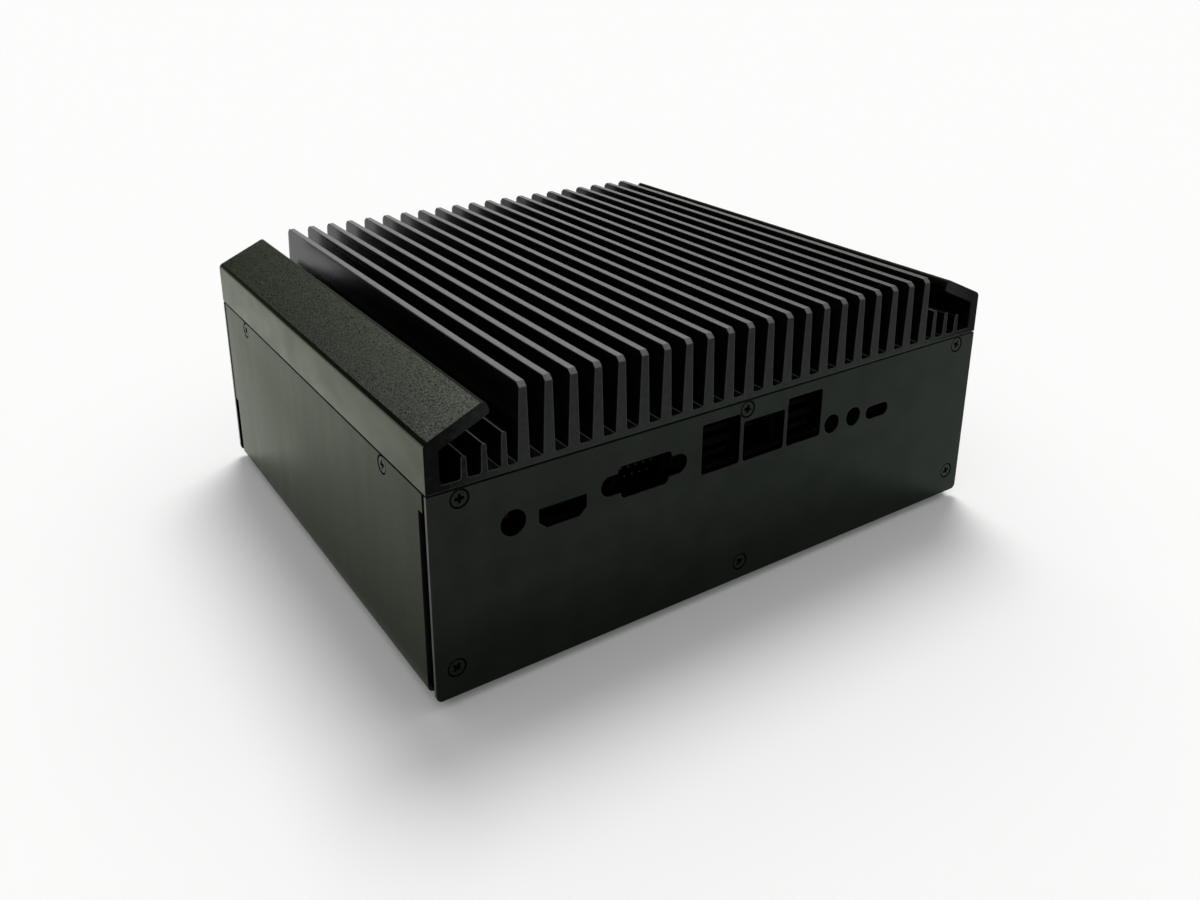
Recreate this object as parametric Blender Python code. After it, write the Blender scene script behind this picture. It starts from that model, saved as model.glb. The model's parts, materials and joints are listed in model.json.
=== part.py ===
"""Fanless mini PC in a slim mini-ITX case.

A finned and winged aluminium extrusion is both lid and cooler. It closes a folded sheet tray, and two
screwed panels close the ends: one with the cut-outs of the ports, one with the power button. The
mainboard hangs under the extrusion on standoffs and gives its heat to it through an aluminium block.

Case coordinates, in metres: x runs along the port panel from the case's left side, y from the port
panel's face towards the button panel, and z up from the soles of the feet.
"""

import math
from collections import namedtuple

import bmesh
import bpy
from mathutils import Euler, Matrix, Vector

# Fits and faceting
FIT = 0.0003
SCREW_PLAY = 0.00015
ROUND_STEPS = 16
FINE_STEPS = 24
ARC_STEP = math.radians(30)
WELD = 0.000001
CUT_PAST = 0.001

# Ports along the board's front edge: each has a clear gap before it, then its cut-out's width
Port = namedtuple("Port", "node gap width height rise margin depth")
PORT_SETBACK = 0.0020
PORT_ROW_END = 0.0095
SHELL_MARGIN = 0.0004
DC_GAP = 0.0060
DC_D = 0.0080
DC_RISE = 0.0009
DC_FLANGE = 0.0008
DC_L = 0.0140
HDMI_GAP = 0.0042
HDMI_W = 0.0159
HDMI_H = 0.0064
HDMI_L = 0.0115
SERIAL_GAP = 0.0050
SERIAL_W = 0.0316
SERIAL_H = 0.0105
SERIAL_RISE = 0.0010
SERIAL_L = 0.0120
USB_LEFT_GAP = 0.0058
USB_RIGHT_GAP = 0.00145
USB_W = 0.0153
USB_H = 0.0169
USB_RISE = -0.0004
USB_L = 0.0175
LAN_GAP = 0.0015
LAN_W = 0.0174
LAN_H = 0.0137
LAN_RISE = -0.0004
LAN_L = 0.0180
AUDIO_LEFT_GAP = 0.0021
AUDIO_RIGHT_GAP = 0.0037
AUDIO_D = 0.0067
AUDIO_RISE = -0.00115
AUDIO_MARGIN = 0.0003
AUDIO_L = 0.0120
USB_C_GAP = 0.00295
USB_C_W = 0.0109
USB_C_H = 0.0048
USB_C_RISE = -0.0009
USB_C_MARGIN = 0.0009
USB_C_L = 0.0085
PORTS = (
    Port("dc_jack", DC_GAP, DC_D, DC_D, DC_RISE, -DC_FLANGE, DC_L),
    Port("hdmi_port", HDMI_GAP, HDMI_W, HDMI_H, 0.0, SHELL_MARGIN, HDMI_L),
    Port("serial_port", SERIAL_GAP, SERIAL_W, SERIAL_H, SERIAL_RISE, SHELL_MARGIN, SERIAL_L),
    Port("usb_stack_left", USB_LEFT_GAP, USB_W, USB_H, USB_RISE, SHELL_MARGIN, USB_L),
    Port("lan_jack", LAN_GAP, LAN_W, LAN_H, LAN_RISE, SHELL_MARGIN, LAN_L),
    Port("usb_stack_right", USB_RIGHT_GAP, USB_W, USB_H, USB_RISE, SHELL_MARGIN, USB_L),
    Port("audio_jack_left", AUDIO_LEFT_GAP, AUDIO_D, AUDIO_D, AUDIO_RISE, AUDIO_MARGIN, AUDIO_L),
    Port("audio_jack_right", AUDIO_RIGHT_GAP, AUDIO_D, AUDIO_D, AUDIO_RISE, AUDIO_MARGIN, AUDIO_L),
    Port("usb_c_port", USB_C_GAP, USB_C_W, USB_C_H, USB_C_RISE, USB_C_MARGIN, USB_C_L),
)
CUTOUT_R = 0.0009
HDMI_CHAMFER_W = 0.0025
HDMI_CHAMFER_H = 0.0021
DSUB_BODY_TOP_W = 0.0201
DSUB_BODY_LOW_W = 0.0170
DSUB_BODY_R = 0.0020
DSUB_EAR_H = 0.0064
MOUTH_WALL = 0.0004
MOUTH_FLOOR = 0.0030
DC_BORE_R = 0.0031
DC_PIN_R = 0.00105
AUDIO_BORE_R = 0.0018
USB_MOUTH_H = 0.0058
USB_TONGUE_T = 0.0018
HDMI_TONGUE_T = 0.0012
USB_C_TONGUE_T = 0.0007
TONGUE_SIDE = 0.0012
DSUB_SHELL_GAP = 0.0009
LAN_MOUTH_W = 0.0121
LAN_MOUTH_H = 0.0080
LAN_LATCH_W = 0.0044
LAN_LATCH_H = 0.0022

# Mainboard, and the room round it that sets the case's width and depth
BOARD_D = 0.1700
BOARD_T = 0.0016
BOARD_GAP_LEFT = 0.0155
BOARD_GAP_RIGHT = 0.0345
BOARD_GAP_FRONT = 0.0040
BOARD_GAP_BACK = 0.0110
BOARD_HOLE_SIDE = 0.00635
BOARD_HOLE_FRONT_LEFT = 0.03302
BOARD_HOLE_FRONT_RIGHT = 0.01016
BOARD_HOLE_BACK = 0.0049
PORT_HEADROOM = 0.0012

# Tray and end panels
SIDE_H = 0.0647
SHEET_T = 0.0012
BEND_R = 0.0020
PANEL_T = 0.0015
PANEL_FOOT_R = 0.0020
FLANGE_W = 0.0120
FLANGE_LOW_Z = 0.0060
TAB_W = 0.0160
TAB_H = 0.0100
TAB_RELIEF = 0.0015

# Heatsink extrusion
BASE_RISE = 0.0022
BASE_SINK = 0.0030
RIB_DROP = 0.0027
SIDE_RIB_W = 0.0120
MID_RIB_W = 0.0062
FIN_COUNT = 21
FIN_MARGIN = 0.0293
FIN_H = 0.0231
FIN_ROOT_T = 0.0039
FIN_TIP_T = 0.00235
FIN_CHAMFER = 0.0014
LOW_FIN_COUNT = 3
LOW_FIN_MARGIN = 0.0112
LOW_FIN_H = 0.0066
LOW_FIN_STEP = 0.00185
LOW_FIN_T = 0.0021
LOW_FIN_TIP_R = 0.0007
WALL_T = 0.0042
WING_BEND_H = 0.0148
WING_BEND_R = 0.0020
WING_REACH = 0.0193
WING_SLOPE = math.radians(24.5)
WING_INNER_R = 0.0008

# Countersunk cross-recess screws of the panels and the sides
SCREW_HEAD_R = 0.0028
SCREW_R = 0.0015
SCREW_L = 0.0080
SCREW_SINK = 0.0001
SCREW_RIM = 0.0003
SCREW_TOP_X = 0.0095
SCREW_LOW_X = 0.0066
SCREW_LOW_Z = 0.0094
SCREW_TAB_Z = 0.0063
SIDE_SCREW_Y = 0.0290
RECESS_L = 0.0030
RECESS_W = 0.0008
RECESS_DEPTH = 0.0012

# Pan-head screws and hexagonal standoffs of the board
PAN_HEAD_R = 0.00275
PAN_HEAD_H = 0.0020
PAN_CROWN = 0.75
PAN_SCREW_L = 0.0060
STANDOFF_R = 0.0032
STUD_L = 0.0038
BORE_PAST = 0.0010

# Processor, cooling block and plug-in cards on the board
CHIP_X = 0.0550
CHIP_W = 0.0280
CHIP_SUBSTRATE_T = 0.0012
DIE_W = 0.0150
DIE_T = 0.0010
BLOCK_W = 0.0440
BLOCK_EDGE = 0.0015
BLOCK_EAR_L = 0.0080
BLOCK_EAR_T = 0.0040
MODULE_W = 0.0676
MODULE_L = 0.0300
MODULE_T = 0.0012
MODULE_LIFT = 0.0022
MODULE_KEY_W = 0.0015
MODULE_KEY_D = 0.0040
MODULE_KEY_X = 0.0060
MODULE_CHIP_T = 0.0011
MODULE_CHIP_W = 0.0110
MODULE_CHIP_COUNT = 4
SOCKET_W = 0.0730
SOCKET_L = 0.0070
SOCKET_H = 0.0052
SOCKET_GRIP = 0.0030
MEMORY_INSET_X = 0.0120
MEMORY_INSET_Y = 0.0080
SSD_W = 0.0220
SSD_L = 0.0420
SSD_T = 0.0008
SSD_CHIP_T = 0.0012
SSD_LIFT = 0.0016
SSD_INSET_X = 0.0100
SSD_Y = 0.0280
SSD_SOCKET_L = 0.0070
SSD_SOCKET_H = 0.0042
SSD_POST_R = 0.0027
SSD_SCREW_R = 0.0010
SSD_CHIP_EDGE = 0.0040
CELL_R = 0.0100
CELL_T = 0.0032
CELL_LIP = 0.0009
HOLDER_WALL = 0.0018
HOLDER_FLOOR = 0.0014
HOLDER_RIM_H = 0.0022
CELL_INSET_X = 0.0520
CELL_Y = 0.0500

# Power button and light pipes in the button panel
BUTTON_BODY_R = 0.0060
BUTTON_BODY_L = 0.0150
BUTTON_BEZEL_R = 0.0075
BUTTON_BEZEL_T = 0.0018
BUTTON_CAP_R = 0.0043
BUTTON_CAP_L = 0.0040
BUTTON_PROUD = 0.0010
BUTTON_TRAVEL = 0.0012
BUTTON_SOFT_EDGE = 0.0004
BUTTON_NUT_R = 0.0085
BUTTON_NUT_T = 0.0025
BUTTON_X = 0.0300
PIPE_R = 0.0015
PIPE_DOME = 0.0005
PIPE_COLLAR_R = 0.0024
PIPE_COLLAR_T = 0.0015
PIPE_TAIL = 0.0040
PIPE_FIRST = 0.0180
PIPE_PITCH = 0.0090

# Rubber feet
FOOT_H = 0.0030
FOOT_R = 0.0070
FOOT_INSET = 0.0180
FOOT_EDGE = 0.0008

# Case envelope that follows from the sizes above
BOARD_W = sum(port.gap + port.width for port in PORTS) + PORT_ROW_END
CASE_W = BOARD_GAP_LEFT + BOARD_W + BOARD_GAP_RIGHT
CASE_D = BOARD_GAP_FRONT + BOARD_D + BOARD_GAP_BACK
BUTTON_REACH = FIT + BUTTON_BEZEL_T + BUTTON_PROUD
OVERALL_D = CASE_D + BUTTON_REACH

# Levels of the closed case
CASE_FLOOR = FOOT_H
SEAM = CASE_FLOOR + SIDE_H
PANEL_TOP = SEAM - FIT / 2
LIP = SEAM + FIT / 2
FIN_FLOOR = SEAM + BASE_RISE
BASE_UNDER = SEAM - BASE_SINK
RIB_UNDER = BASE_UNDER - RIB_DROP
SCREW_TOP_Z = PANEL_TOP - SCREW_HEAD_R - SCREW_RIM
STANDOFF_L = USB_H + USB_RISE + PORT_HEADROOM - FIT
BOARD_TOP = BASE_UNDER - STANDOFF_L - 2 * FIT
BOARD_UNDER = BOARD_TOP - BOARD_T
ON_BOARD = BOARD_TOP + FIT
BOARD_X = BOARD_GAP_LEFT
BOARD_Y = BOARD_GAP_FRONT
END_STEP = PANEL_T + FIT
BUTTON_Z = (CASE_FLOOR + SHEET_T + BOARD_UNDER) / 2

# Which way a turned piece's own +z looks once it is in the case
TO_FRONT = (math.pi / 2, 0.0, 0.0)
TO_BACK = (-math.pi / 2, 0.0, 0.0)
TO_LEFT = (0.0, -math.pi / 2, 0.0)
TO_RIGHT = (0.0, math.pi / 2, 0.0)
UP = (0.0, 0.0, 0.0)
DOWN = (math.pi, 0.0, 0.0)


def finish(name, colour, roughness, metallic=0.0):
    """A Principled material of one colour."""
    made = bpy.data.materials.new(name)
    made.use_nodes = True
    made.diffuse_color = (*colour, 1.0)
    shader = made.node_tree.nodes["Principled BSDF"]
    shader.inputs["Base Color"].default_value = (*colour, 1.0)
    shader.inputs["Roughness"].default_value = roughness
    shader.inputs["Metallic"].default_value = metallic
    return made


def piece(name, mesh, look, at=(0.0, 0.0, 0.0), facing=UP):
    """One sub-part, placed in case coordinates."""
    made = bpy.data.objects.new(name, mesh)
    if not mesh.materials:
        mesh.materials.append(look)
    made.parent = case
    made.location = at
    made.rotation_euler = facing
    bpy.context.scene.collection.objects.link(made)
    return made


def mesh_of(name, shape, smooth=False):
    """Closes the bmesh into a mesh with its faces pointing out."""
    bmesh.ops.remove_doubles(shape, verts=shape.verts, dist=WELD)
    bmesh.ops.recalc_face_normals(shape, faces=shape.faces)
    mesh = bpy.data.meshes.new(name)
    shape.to_mesh(mesh)
    shape.free()
    if smooth:
        mesh.shade_smooth()
        mesh.set_sharp_from_angle(angle=math.radians(40))
    return mesh


def tool(name, shape):
    """A shape that only cuts or joins another piece."""
    made = piece(name, mesh_of(name, shape), tool_look)
    made.hide_render = True
    made.display_type = "WIRE"
    return made


def combine(target, other, operation="DIFFERENCE"):
    """Cuts the tool from the piece, or joins it on."""
    boolean = target.modifiers.new(other.name, "BOOLEAN")
    boolean.operation = operation
    boolean.solver = "EXACT"
    boolean.object = other


def rounded(corners):
    """Closed outline through (u, v, radius) corners, each rounded by its own radius."""
    points = []
    for index, (u, v, radius) in enumerate(corners):
        here = Vector((u, v))
        if not radius:
            points.append(here)
            continue
        before = (Vector(corners[index - 1][:2]) - here).normalized()
        after = (Vector(corners[(index + 1) % len(corners)][:2]) - here).normalized()
        half = before.angle(after) / 2
        centre = here + (before + after).normalized() * radius / math.sin(half)
        start = here + before * radius / math.tan(half) - centre
        turn = math.pi - 2 * half
        if before.x * after.y - before.y * after.x > 0:
            turn = -turn
        steps = max(2, round(abs(turn) / ARC_STEP))
        for step in range(steps + 1):
            points.append(centre + Matrix.Rotation(turn * step / steps, 2) @ start)
    return [tuple(point) for point in points]


def rectangle(width, height, radius=0.0, centre=(0.0, 0.0)):
    """Outline of a rectangle about its centre, with round corners if asked."""
    half_w = width / 2
    half_h = height / 2
    signs = ((-1, -1), (1, -1), (1, 1), (-1, 1))
    return rounded([(centre[0] + su * half_w, centre[1] + sv * half_h, radius) for su, sv in signs])


def circle(radius, steps=ROUND_STEPS, centre=(0.0, 0.0)):
    """Outline of a circle as a regular polygon."""
    u, v = centre
    turns = [2 * math.pi * (step + 0.5) / steps for step in range(steps)]
    return [(u + radius * math.cos(turn), v + radius * math.sin(turn)) for turn in turns]


def loop(shape, outline, level, along):
    """The outline's points at one level along an axis."""
    order = {"x": (2, 0, 1), "y": (0, 2, 1), "z": (0, 1, 2)}[along]
    return [shape.verts.new([(u, v, level)[axis] for axis in order]) for u, v in outline]


def walls(shape, near, far):
    """Quads between two loops of as many points, all the way round."""
    for index in range(len(near)):
        shape.faces.new((near[index - 1], near[index], far[index], far[index - 1]))


def prism(shape, outline, low, high, along="y"):
    """The outline drawn out from one level to the other."""
    near = loop(shape, outline, low, along)
    far = loop(shape, outline, high, along)
    shape.faces.new(near)
    shape.faces.new(far)
    walls(shape, near, far)


def ring(shape, outer, inner, low, high):
    """The space between two outlines of as many points, drawn out along y."""
    outer_loops = [loop(shape, outer, level, "y") for level in (low, high)]
    inner_loops = [loop(shape, inner, level, "y") for level in (low, high)]
    walls(shape, *outer_loops)
    walls(shape, *inner_loops)
    for outer_loop, inner_loop in zip(outer_loops, inner_loops):
        walls(shape, outer_loop, inner_loop)


def turned(shape, profile, steps=ROUND_STEPS, at=(0.0, 0.0, 0.0), facing=UP):
    """A turned form. Its profile runs from the axis round to the axis again, as (radius, z) points."""
    older = set(shape.verts)
    points = [shape.verts.new((radius, 0.0, z)) for radius, z in profile]
    edges = [shape.edges.new(pair) for pair in zip(points, points[1:])]
    axis = (0.0, 0.0, 1.0)
    bmesh.ops.spin(shape, geom=points + edges, axis=axis, angle=2 * math.pi, steps=steps)
    placed = Matrix.Translation(at) @ Euler(facing).to_matrix().to_4x4()
    bmesh.ops.transform(shape, matrix=placed, verts=[vert for vert in shape.verts if vert not in older])


def turned_mesh(name, profile, steps=ROUND_STEPS):
    """A turned piece's own mesh, about its own z axis."""
    shape = bmesh.new()
    turned(shape, profile, steps)
    return mesh_of(name, shape, smooth=True)


def countersunk_profile(play, head_end):
    """A countersunk screw whose head is flush at z = 0, grown by the play all over."""
    head_r = SCREW_HEAD_R + play
    shank_r = SCREW_R + play
    cone_end = -SCREW_SINK - (SCREW_HEAD_R - SCREW_R)
    end = -SCREW_L - play
    cone = [(head_r, -SCREW_SINK), (shank_r, cone_end)]
    rim = [(head_r, head_end)] if head_end > -SCREW_SINK else []
    return [(0.0, head_end), *rim, *cone, (shank_r, end), (0.0, end)]


def screw_places():
    """Node name, place and facing of each countersunk screw."""
    places = []
    corners = [
        (SCREW_TOP_X, SCREW_TOP_Z),
        (CASE_W / 2, SCREW_TOP_Z),
        (CASE_W - SCREW_TOP_X, SCREW_TOP_Z),
        (SCREW_LOW_X, CASE_FLOOR + SCREW_LOW_Z),
        (CASE_W / 2, CASE_FLOOR + SCREW_TAB_Z),
        (CASE_W - SCREW_LOW_X, CASE_FLOOR + SCREW_LOW_Z),
    ]
    for panel, y, facing in (("io_panel", 0.0, TO_FRONT), ("button_panel", CASE_D, TO_BACK)):
        for number, (x, z) in enumerate(corners, 1):
            places.append((f"{panel}_screw_{number}", (x, y, z), facing))
    sides = [(0.0, TO_LEFT), (CASE_W, TO_RIGHT)]
    spots = [(x, y, facing) for x, facing in sides for y in (SIDE_SCREW_Y, CASE_D - SIDE_SCREW_Y)]
    for number, (x, y, facing) in enumerate(spots, 1):
        places.append((f"side_screw_{number}", (x, y, SCREW_TOP_Z), facing))
    return places


def board_hole_places():
    """Centres of the board's four fixing holes."""
    left = BOARD_X + BOARD_HOLE_SIDE
    right = BOARD_X + BOARD_W - BOARD_HOLE_SIDE
    back = BOARD_Y + BOARD_D - BOARD_HOLE_BACK
    return [
        (left, BOARD_Y + BOARD_HOLE_FRONT_LEFT),
        (right, BOARD_Y + BOARD_HOLE_FRONT_RIGHT),
        (left, back),
        (right, back),
    ]


def block_centre():
    """Centre of the processor, and of the cooling block over it."""
    return BOARD_X + CHIP_X, BOARD_Y + BOARD_D / 2


def block_screw_places():
    """Centres of the two screws in the cooling block's ears."""
    x, y = block_centre()
    reach = BLOCK_W / 2 + BLOCK_EAR_L / 2
    return [(x - reach, y), (x + reach, y)]


def port_places():
    """Each port with the centre of its cut-out."""
    places = []
    x = BOARD_X
    for port in PORTS:
        x += port.gap + port.width / 2
        places.append((port, x, ON_BOARD + port.rise + port.height / 2))
        x += port.width / 2
    return places


def pipe_places():
    """Centres of the light pipes beside the power button."""
    return [(BUTTON_X + PIPE_FIRST + number * PIPE_PITCH, BUTTON_Z) for number in range(2)]


def heatsink_corners(y):
    """Outline corners of the fins and wings at a station along the extrusion, from lip to lip."""
    slope = Vector((math.cos(WING_SLOPE), math.sin(WING_SLOPE)))
    inward = Vector((slope.y, -slope.x))
    bend = Vector((0.0, SEAM + WING_BEND_H))
    half = WALL_T / 2
    tip = bend + slope * (WING_REACH - half - half * slope.y + half * slope.x) / slope.x
    under_tip = tip + inward * WALL_T
    inner_bend = bend + inward * WALL_T + slope * WALL_T * (1 - slope.y) / slope.x
    tip_r = half - WELD
    left = [
        (0.0, LIP, 0.0),
        (*bend, WING_BEND_R),
        (*tip, tip_r),
        (*under_tip, tip_r),
        (*inner_bend, WING_INNER_R),
        (WALL_T, FIN_FLOOR, WING_INNER_R),
    ]
    low_pitch = (FIN_MARGIN - LOW_FIN_MARGIN) / LOW_FIN_COUNT
    for number in range(LOW_FIN_COUNT):
        x = LOW_FIN_MARGIN + number * low_pitch
        top = FIN_FLOOR + LOW_FIN_H + number * LOW_FIN_STEP
        rise = [(x - LOW_FIN_T / 2, FIN_FLOOR, 0.0), (x - LOW_FIN_T / 2, top, LOW_FIN_TIP_R)]
        left += rise + [(2 * x - edge, z, radius) for edge, z, radius in reversed(rise)]
    fins = []
    pitch = (CASE_W - 2 * FIN_MARGIN) / (FIN_COUNT - 1)
    cut = max(0.0, FIN_CHAMFER - min(y, CASE_D - y))
    top_half = FIN_TIP_T / 2 + (FIN_ROOT_T - FIN_TIP_T) / 2 * cut / FIN_H
    for number in range(FIN_COUNT):
        x = FIN_MARGIN + number * pitch
        rise = [(x - FIN_ROOT_T / 2, FIN_FLOOR, 0.0), (x - top_half, FIN_FLOOR + FIN_H - cut, 0.0)]
        fins += rise + [(2 * x - edge, z, radius) for edge, z, radius in reversed(rise)]
    right = [(CASE_W - x, z, radius) for x, z, radius in reversed(left)]
    return left + fins + right


def heatsink_underside():
    """Outline of the base between the tray's sides, with its three screw ribs, from right to left."""
    side = SHEET_T + FIT
    rib = side + SIDE_RIB_W
    mid = CASE_W / 2
    half = [(side, LIP), (side, RIB_UNDER), (rib, RIB_UNDER), (rib, BASE_UNDER)]
    half += [(mid - MID_RIB_W / 2, BASE_UNDER), (mid - MID_RIB_W / 2, RIB_UNDER)]
    return [(CASE_W - x, z) for x, z in half] + half[::-1]


def make_heatsink():
    """The extrusion: fins and wings over its full length, the underside milled back at both ends."""
    shape = bmesh.new()
    ends = (END_STEP, CASE_D - END_STEP)
    cuts = (0.0, FIN_CHAMFER, *ends, CASE_D - FIN_CHAMFER, CASE_D)
    stations = sorted({round(y, 6) for y in cuts})
    first, last = (stations.index(round(y, 6)) for y in ends)
    upper = [loop(shape, rounded(heatsink_corners(y)), y, "y") for y in stations]
    lower = {}
    for index in range(first, last + 1):
        lower[index] = loop(shape, heatsink_underside(), stations[index], "y")
    for index in range(len(stations) - 1):
        near, far = upper[index], upper[index + 1]
        for point in range(len(near) - 1):
            shape.faces.new((near[point], near[point + 1], far[point + 1], far[point]))
        if first <= index < last:
            under_near = [near[-1], *lower[index], near[0]]
            under_far = [far[-1], *lower[index + 1], far[0]]
            for point in range(len(under_near) - 1):
                pair = (under_near[point], under_near[point + 1])
                shape.faces.new((*pair, under_far[point + 1], under_far[point]))
            continue
        near_edge = [near[-1], near[0]]
        far_edge = [far[-1], far[0]]
        if index == last:
            near_edge[1:1] = (lower[index][0], lower[index][-1])
        if index + 1 == first:
            far_edge[1:1] = (lower[first][0], lower[first][-1])
        shape.faces.new(near_edge + far_edge[::-1])
    for index in (first, last):
        shape.faces.new(lower[index])
    for end in (upper[0], upper[-1]):
        shape.faces.new(end)
    heatsink = piece("heatsink_top", mesh_of("heatsink_top", shape), black_aluminium)
    combine(heatsink, fastener_space)
    stud_space = bmesh.new()
    for x, y in board_hole_places() + block_screw_places():
        top = BASE_UNDER + STUD_L + FIT
        prism(stud_space, circle(SCREW_R + SCREW_PLAY, centre=(x, y)), BASE_UNDER - CUT_PAST, top, "z")
    combine(heatsink, tool("stud_space", stud_space))


def carry(shape, edge, offsets):
    """Carries the sheet on from an edge through a row of offsets from it."""
    starts = [vert.co.copy() for vert in edge]
    for offset in offsets:
        fresh = [shape.verts.new(start + offset) for start in starts]
        shape.faces.new((edge[0], edge[1], fresh[1], fresh[0]))
        edge = fresh


def fold(out, into, length):
    """Offsets of a flange: a bend from one direction to the other, then flat to its full length."""
    steps = round(math.pi / 2 / ARC_STEP)
    bends = [math.pi / 2 * (step + 1) / steps for step in range(steps)]
    offsets = [BEND_R * (out * math.sin(bend) + into * (1 - math.cos(bend))) for bend in bends]
    return offsets + [out * BEND_R + into * length]


def make_tray():
    """One folded sheet: a floor and two sides, with flanges and tabs at both ends for the panels' screws."""
    flange_top = RIB_UNDER - FIT
    flange_low = CASE_FLOOR + FLANGE_LOW_Z
    tab_half = TAB_W / 2
    steps = round(math.pi / 2 / ARC_STEP)
    bends = [math.pi / 2 * step / steps for step in range(steps + 1)]
    left = [(0.0, PANEL_TOP), (0.0, flange_top), (0.0, flange_low)]
    for bend in bends:
        left.append((BEND_R * (1 - math.cos(bend)), CASE_FLOOR + BEND_R * (1 - math.sin(bend))))
    left += [(CASE_W / 2 - tab_half - TAB_RELIEF, CASE_FLOOR), (CASE_W / 2 - tab_half, CASE_FLOOR)]
    section = left + [(CASE_W - x, z) for x, z in reversed(left)]
    bend_y = END_STEP + BEND_R
    shape = bmesh.new()
    rows = [loop(shape, section, y, "y") for y in (bend_y, CASE_D - bend_y)]
    for point in range(len(section) - 1):
        shape.faces.new((rows[0][point], rows[0][point + 1], rows[1][point + 1], rows[1][point]))
    x_axis, y_axis, z_axis = Matrix.Identity(3)
    for row, out in zip(rows, (-y_axis, y_axis)):
        flat = [out * BEND_R]
        for side, into in ((row, x_axis), (row[::-1], -x_axis)):
            carry(shape, side[0:2], flat)
            carry(shape, side[1:3], fold(out, into, FLANGE_W))
            carry(shape, side[len(left) - 3 : len(left) - 1], flat)
        carry(shape, row[len(left) - 1 : len(left) + 1], fold(out, z_axis, TAB_H))
    tray = piece("base_tray", mesh_of("base_tray", shape), black_sheet)
    thickness = tray.modifiers.new("sheet", "SOLIDIFY")
    thickness.thickness = SHEET_T
    thickness.offset = -1.0
    thickness.use_even_offset = True
    combine(tray, fastener_space)


def panel_plate(node, y):
    """An end panel's plate, with its two lower corners rounded."""
    corners = [
        (0.0, PANEL_TOP, 0.0),
        (0.0, CASE_FLOOR, PANEL_FOOT_R),
        (CASE_W, CASE_FLOOR, PANEL_FOOT_R),
        (CASE_W, PANEL_TOP, 0.0),
    ]
    shape = bmesh.new()
    prism(shape, rounded(corners), y, y + PANEL_T)
    plate = piece(node, mesh_of(node, shape), black_panel)
    combine(plate, fastener_space)
    return plate


def hdmi_outline(width, height, chamfer_w, chamfer_h, centre):
    """A flat port outline with both lower corners cut off."""
    half_w = width / 2
    half_h = height / 2
    corners = [
        (-half_w, half_h),
        (-half_w, chamfer_h - half_h),
        (chamfer_w - half_w, -half_h),
        (half_w - chamfer_w, -half_h),
        (half_w, chamfer_h - half_h),
        (half_w, half_h),
    ]
    return [(centre[0] + u, centre[1] + v) for u, v in corners]


def dsub_outline(height, inset, centre):
    """The D of a serial port: narrower below, with round corners, inset on its two sides."""
    top = DSUB_BODY_TOP_W / 2 - inset
    low = DSUB_BODY_LOW_W / 2 - inset
    corners = [(-top, height / 2), (-low, -height / 2), (low, -height / 2), (top, height / 2)]
    return rounded([(centre[0] + u, centre[1] + v, DSUB_BODY_R) for u, v in corners])


def dsub_cutout(port, centre):
    """A serial port's cut-out: its D, with a round-ended ear on each side for the jack screw."""
    half_h = port.height / 2
    ear = DSUB_EAR_H / 2
    lean = (DSUB_BODY_TOP_W - DSUB_BODY_LOW_W) / 2 / port.height
    middle = (DSUB_BODY_TOP_W + DSUB_BODY_LOW_W) / 4
    right = [
        (DSUB_BODY_LOW_W / 2, -half_h, DSUB_BODY_R / 2),
        (middle - lean * ear, -ear, 0.0),
        (port.width / 2, -ear, ear - WELD),
        (port.width / 2, ear, ear - WELD),
        (middle + lean * ear, ear, 0.0),
        (DSUB_BODY_TOP_W / 2, half_h, DSUB_BODY_R / 2),
    ]
    left = [(-u, v, radius) for u, v, radius in reversed(right)]
    return rounded([(centre[0] + u, centre[1] + v, radius) for u, v, radius in right + left])


def port_cutout(port, centre):
    """The cut-out that a port has in the panel."""
    if port.node == "hdmi_port":
        return hdmi_outline(port.width, port.height, HDMI_CHAMFER_W, HDMI_CHAMFER_H, centre)
    if port.node == "serial_port":
        return dsub_cutout(port, centre)
    if port.node == "usb_c_port":
        return rectangle(port.width, port.height, port.height / 2 - WELD, centre)
    if port.width == port.height:
        return circle(port.width / 2, FINE_STEPS, centre)
    return rectangle(port.width, port.height, CUTOUT_R, centre)


def make_io_panel():
    """The panel that faces the user's cables, cut out for every port on the board."""
    plate = panel_plate("io_panel", 0.0)
    shape = bmesh.new()
    for port, x, z in port_places():
        prism(shape, port_cutout(port, (x, z)), -CUT_PAST, PANEL_T + CUT_PAST)
    combine(plate, tool("port_cutouts", shape))


def make_button_panel():
    """The panel at the other end, with holes for the power button and the two light pipes."""
    plate = panel_plate("button_panel", CASE_D - PANEL_T)
    shape = bmesh.new()
    reach = (CASE_D - PANEL_T - CUT_PAST, CASE_D + CUT_PAST)
    prism(shape, circle(BUTTON_BODY_R + FIT, FINE_STEPS, (BUTTON_X, BUTTON_Z)), *reach)
    for x, z in pipe_places():
        prism(shape, circle(PIPE_R + FIT, centre=(x, z)), *reach)
    combine(plate, tool("button_panel_holes", shape))


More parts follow.
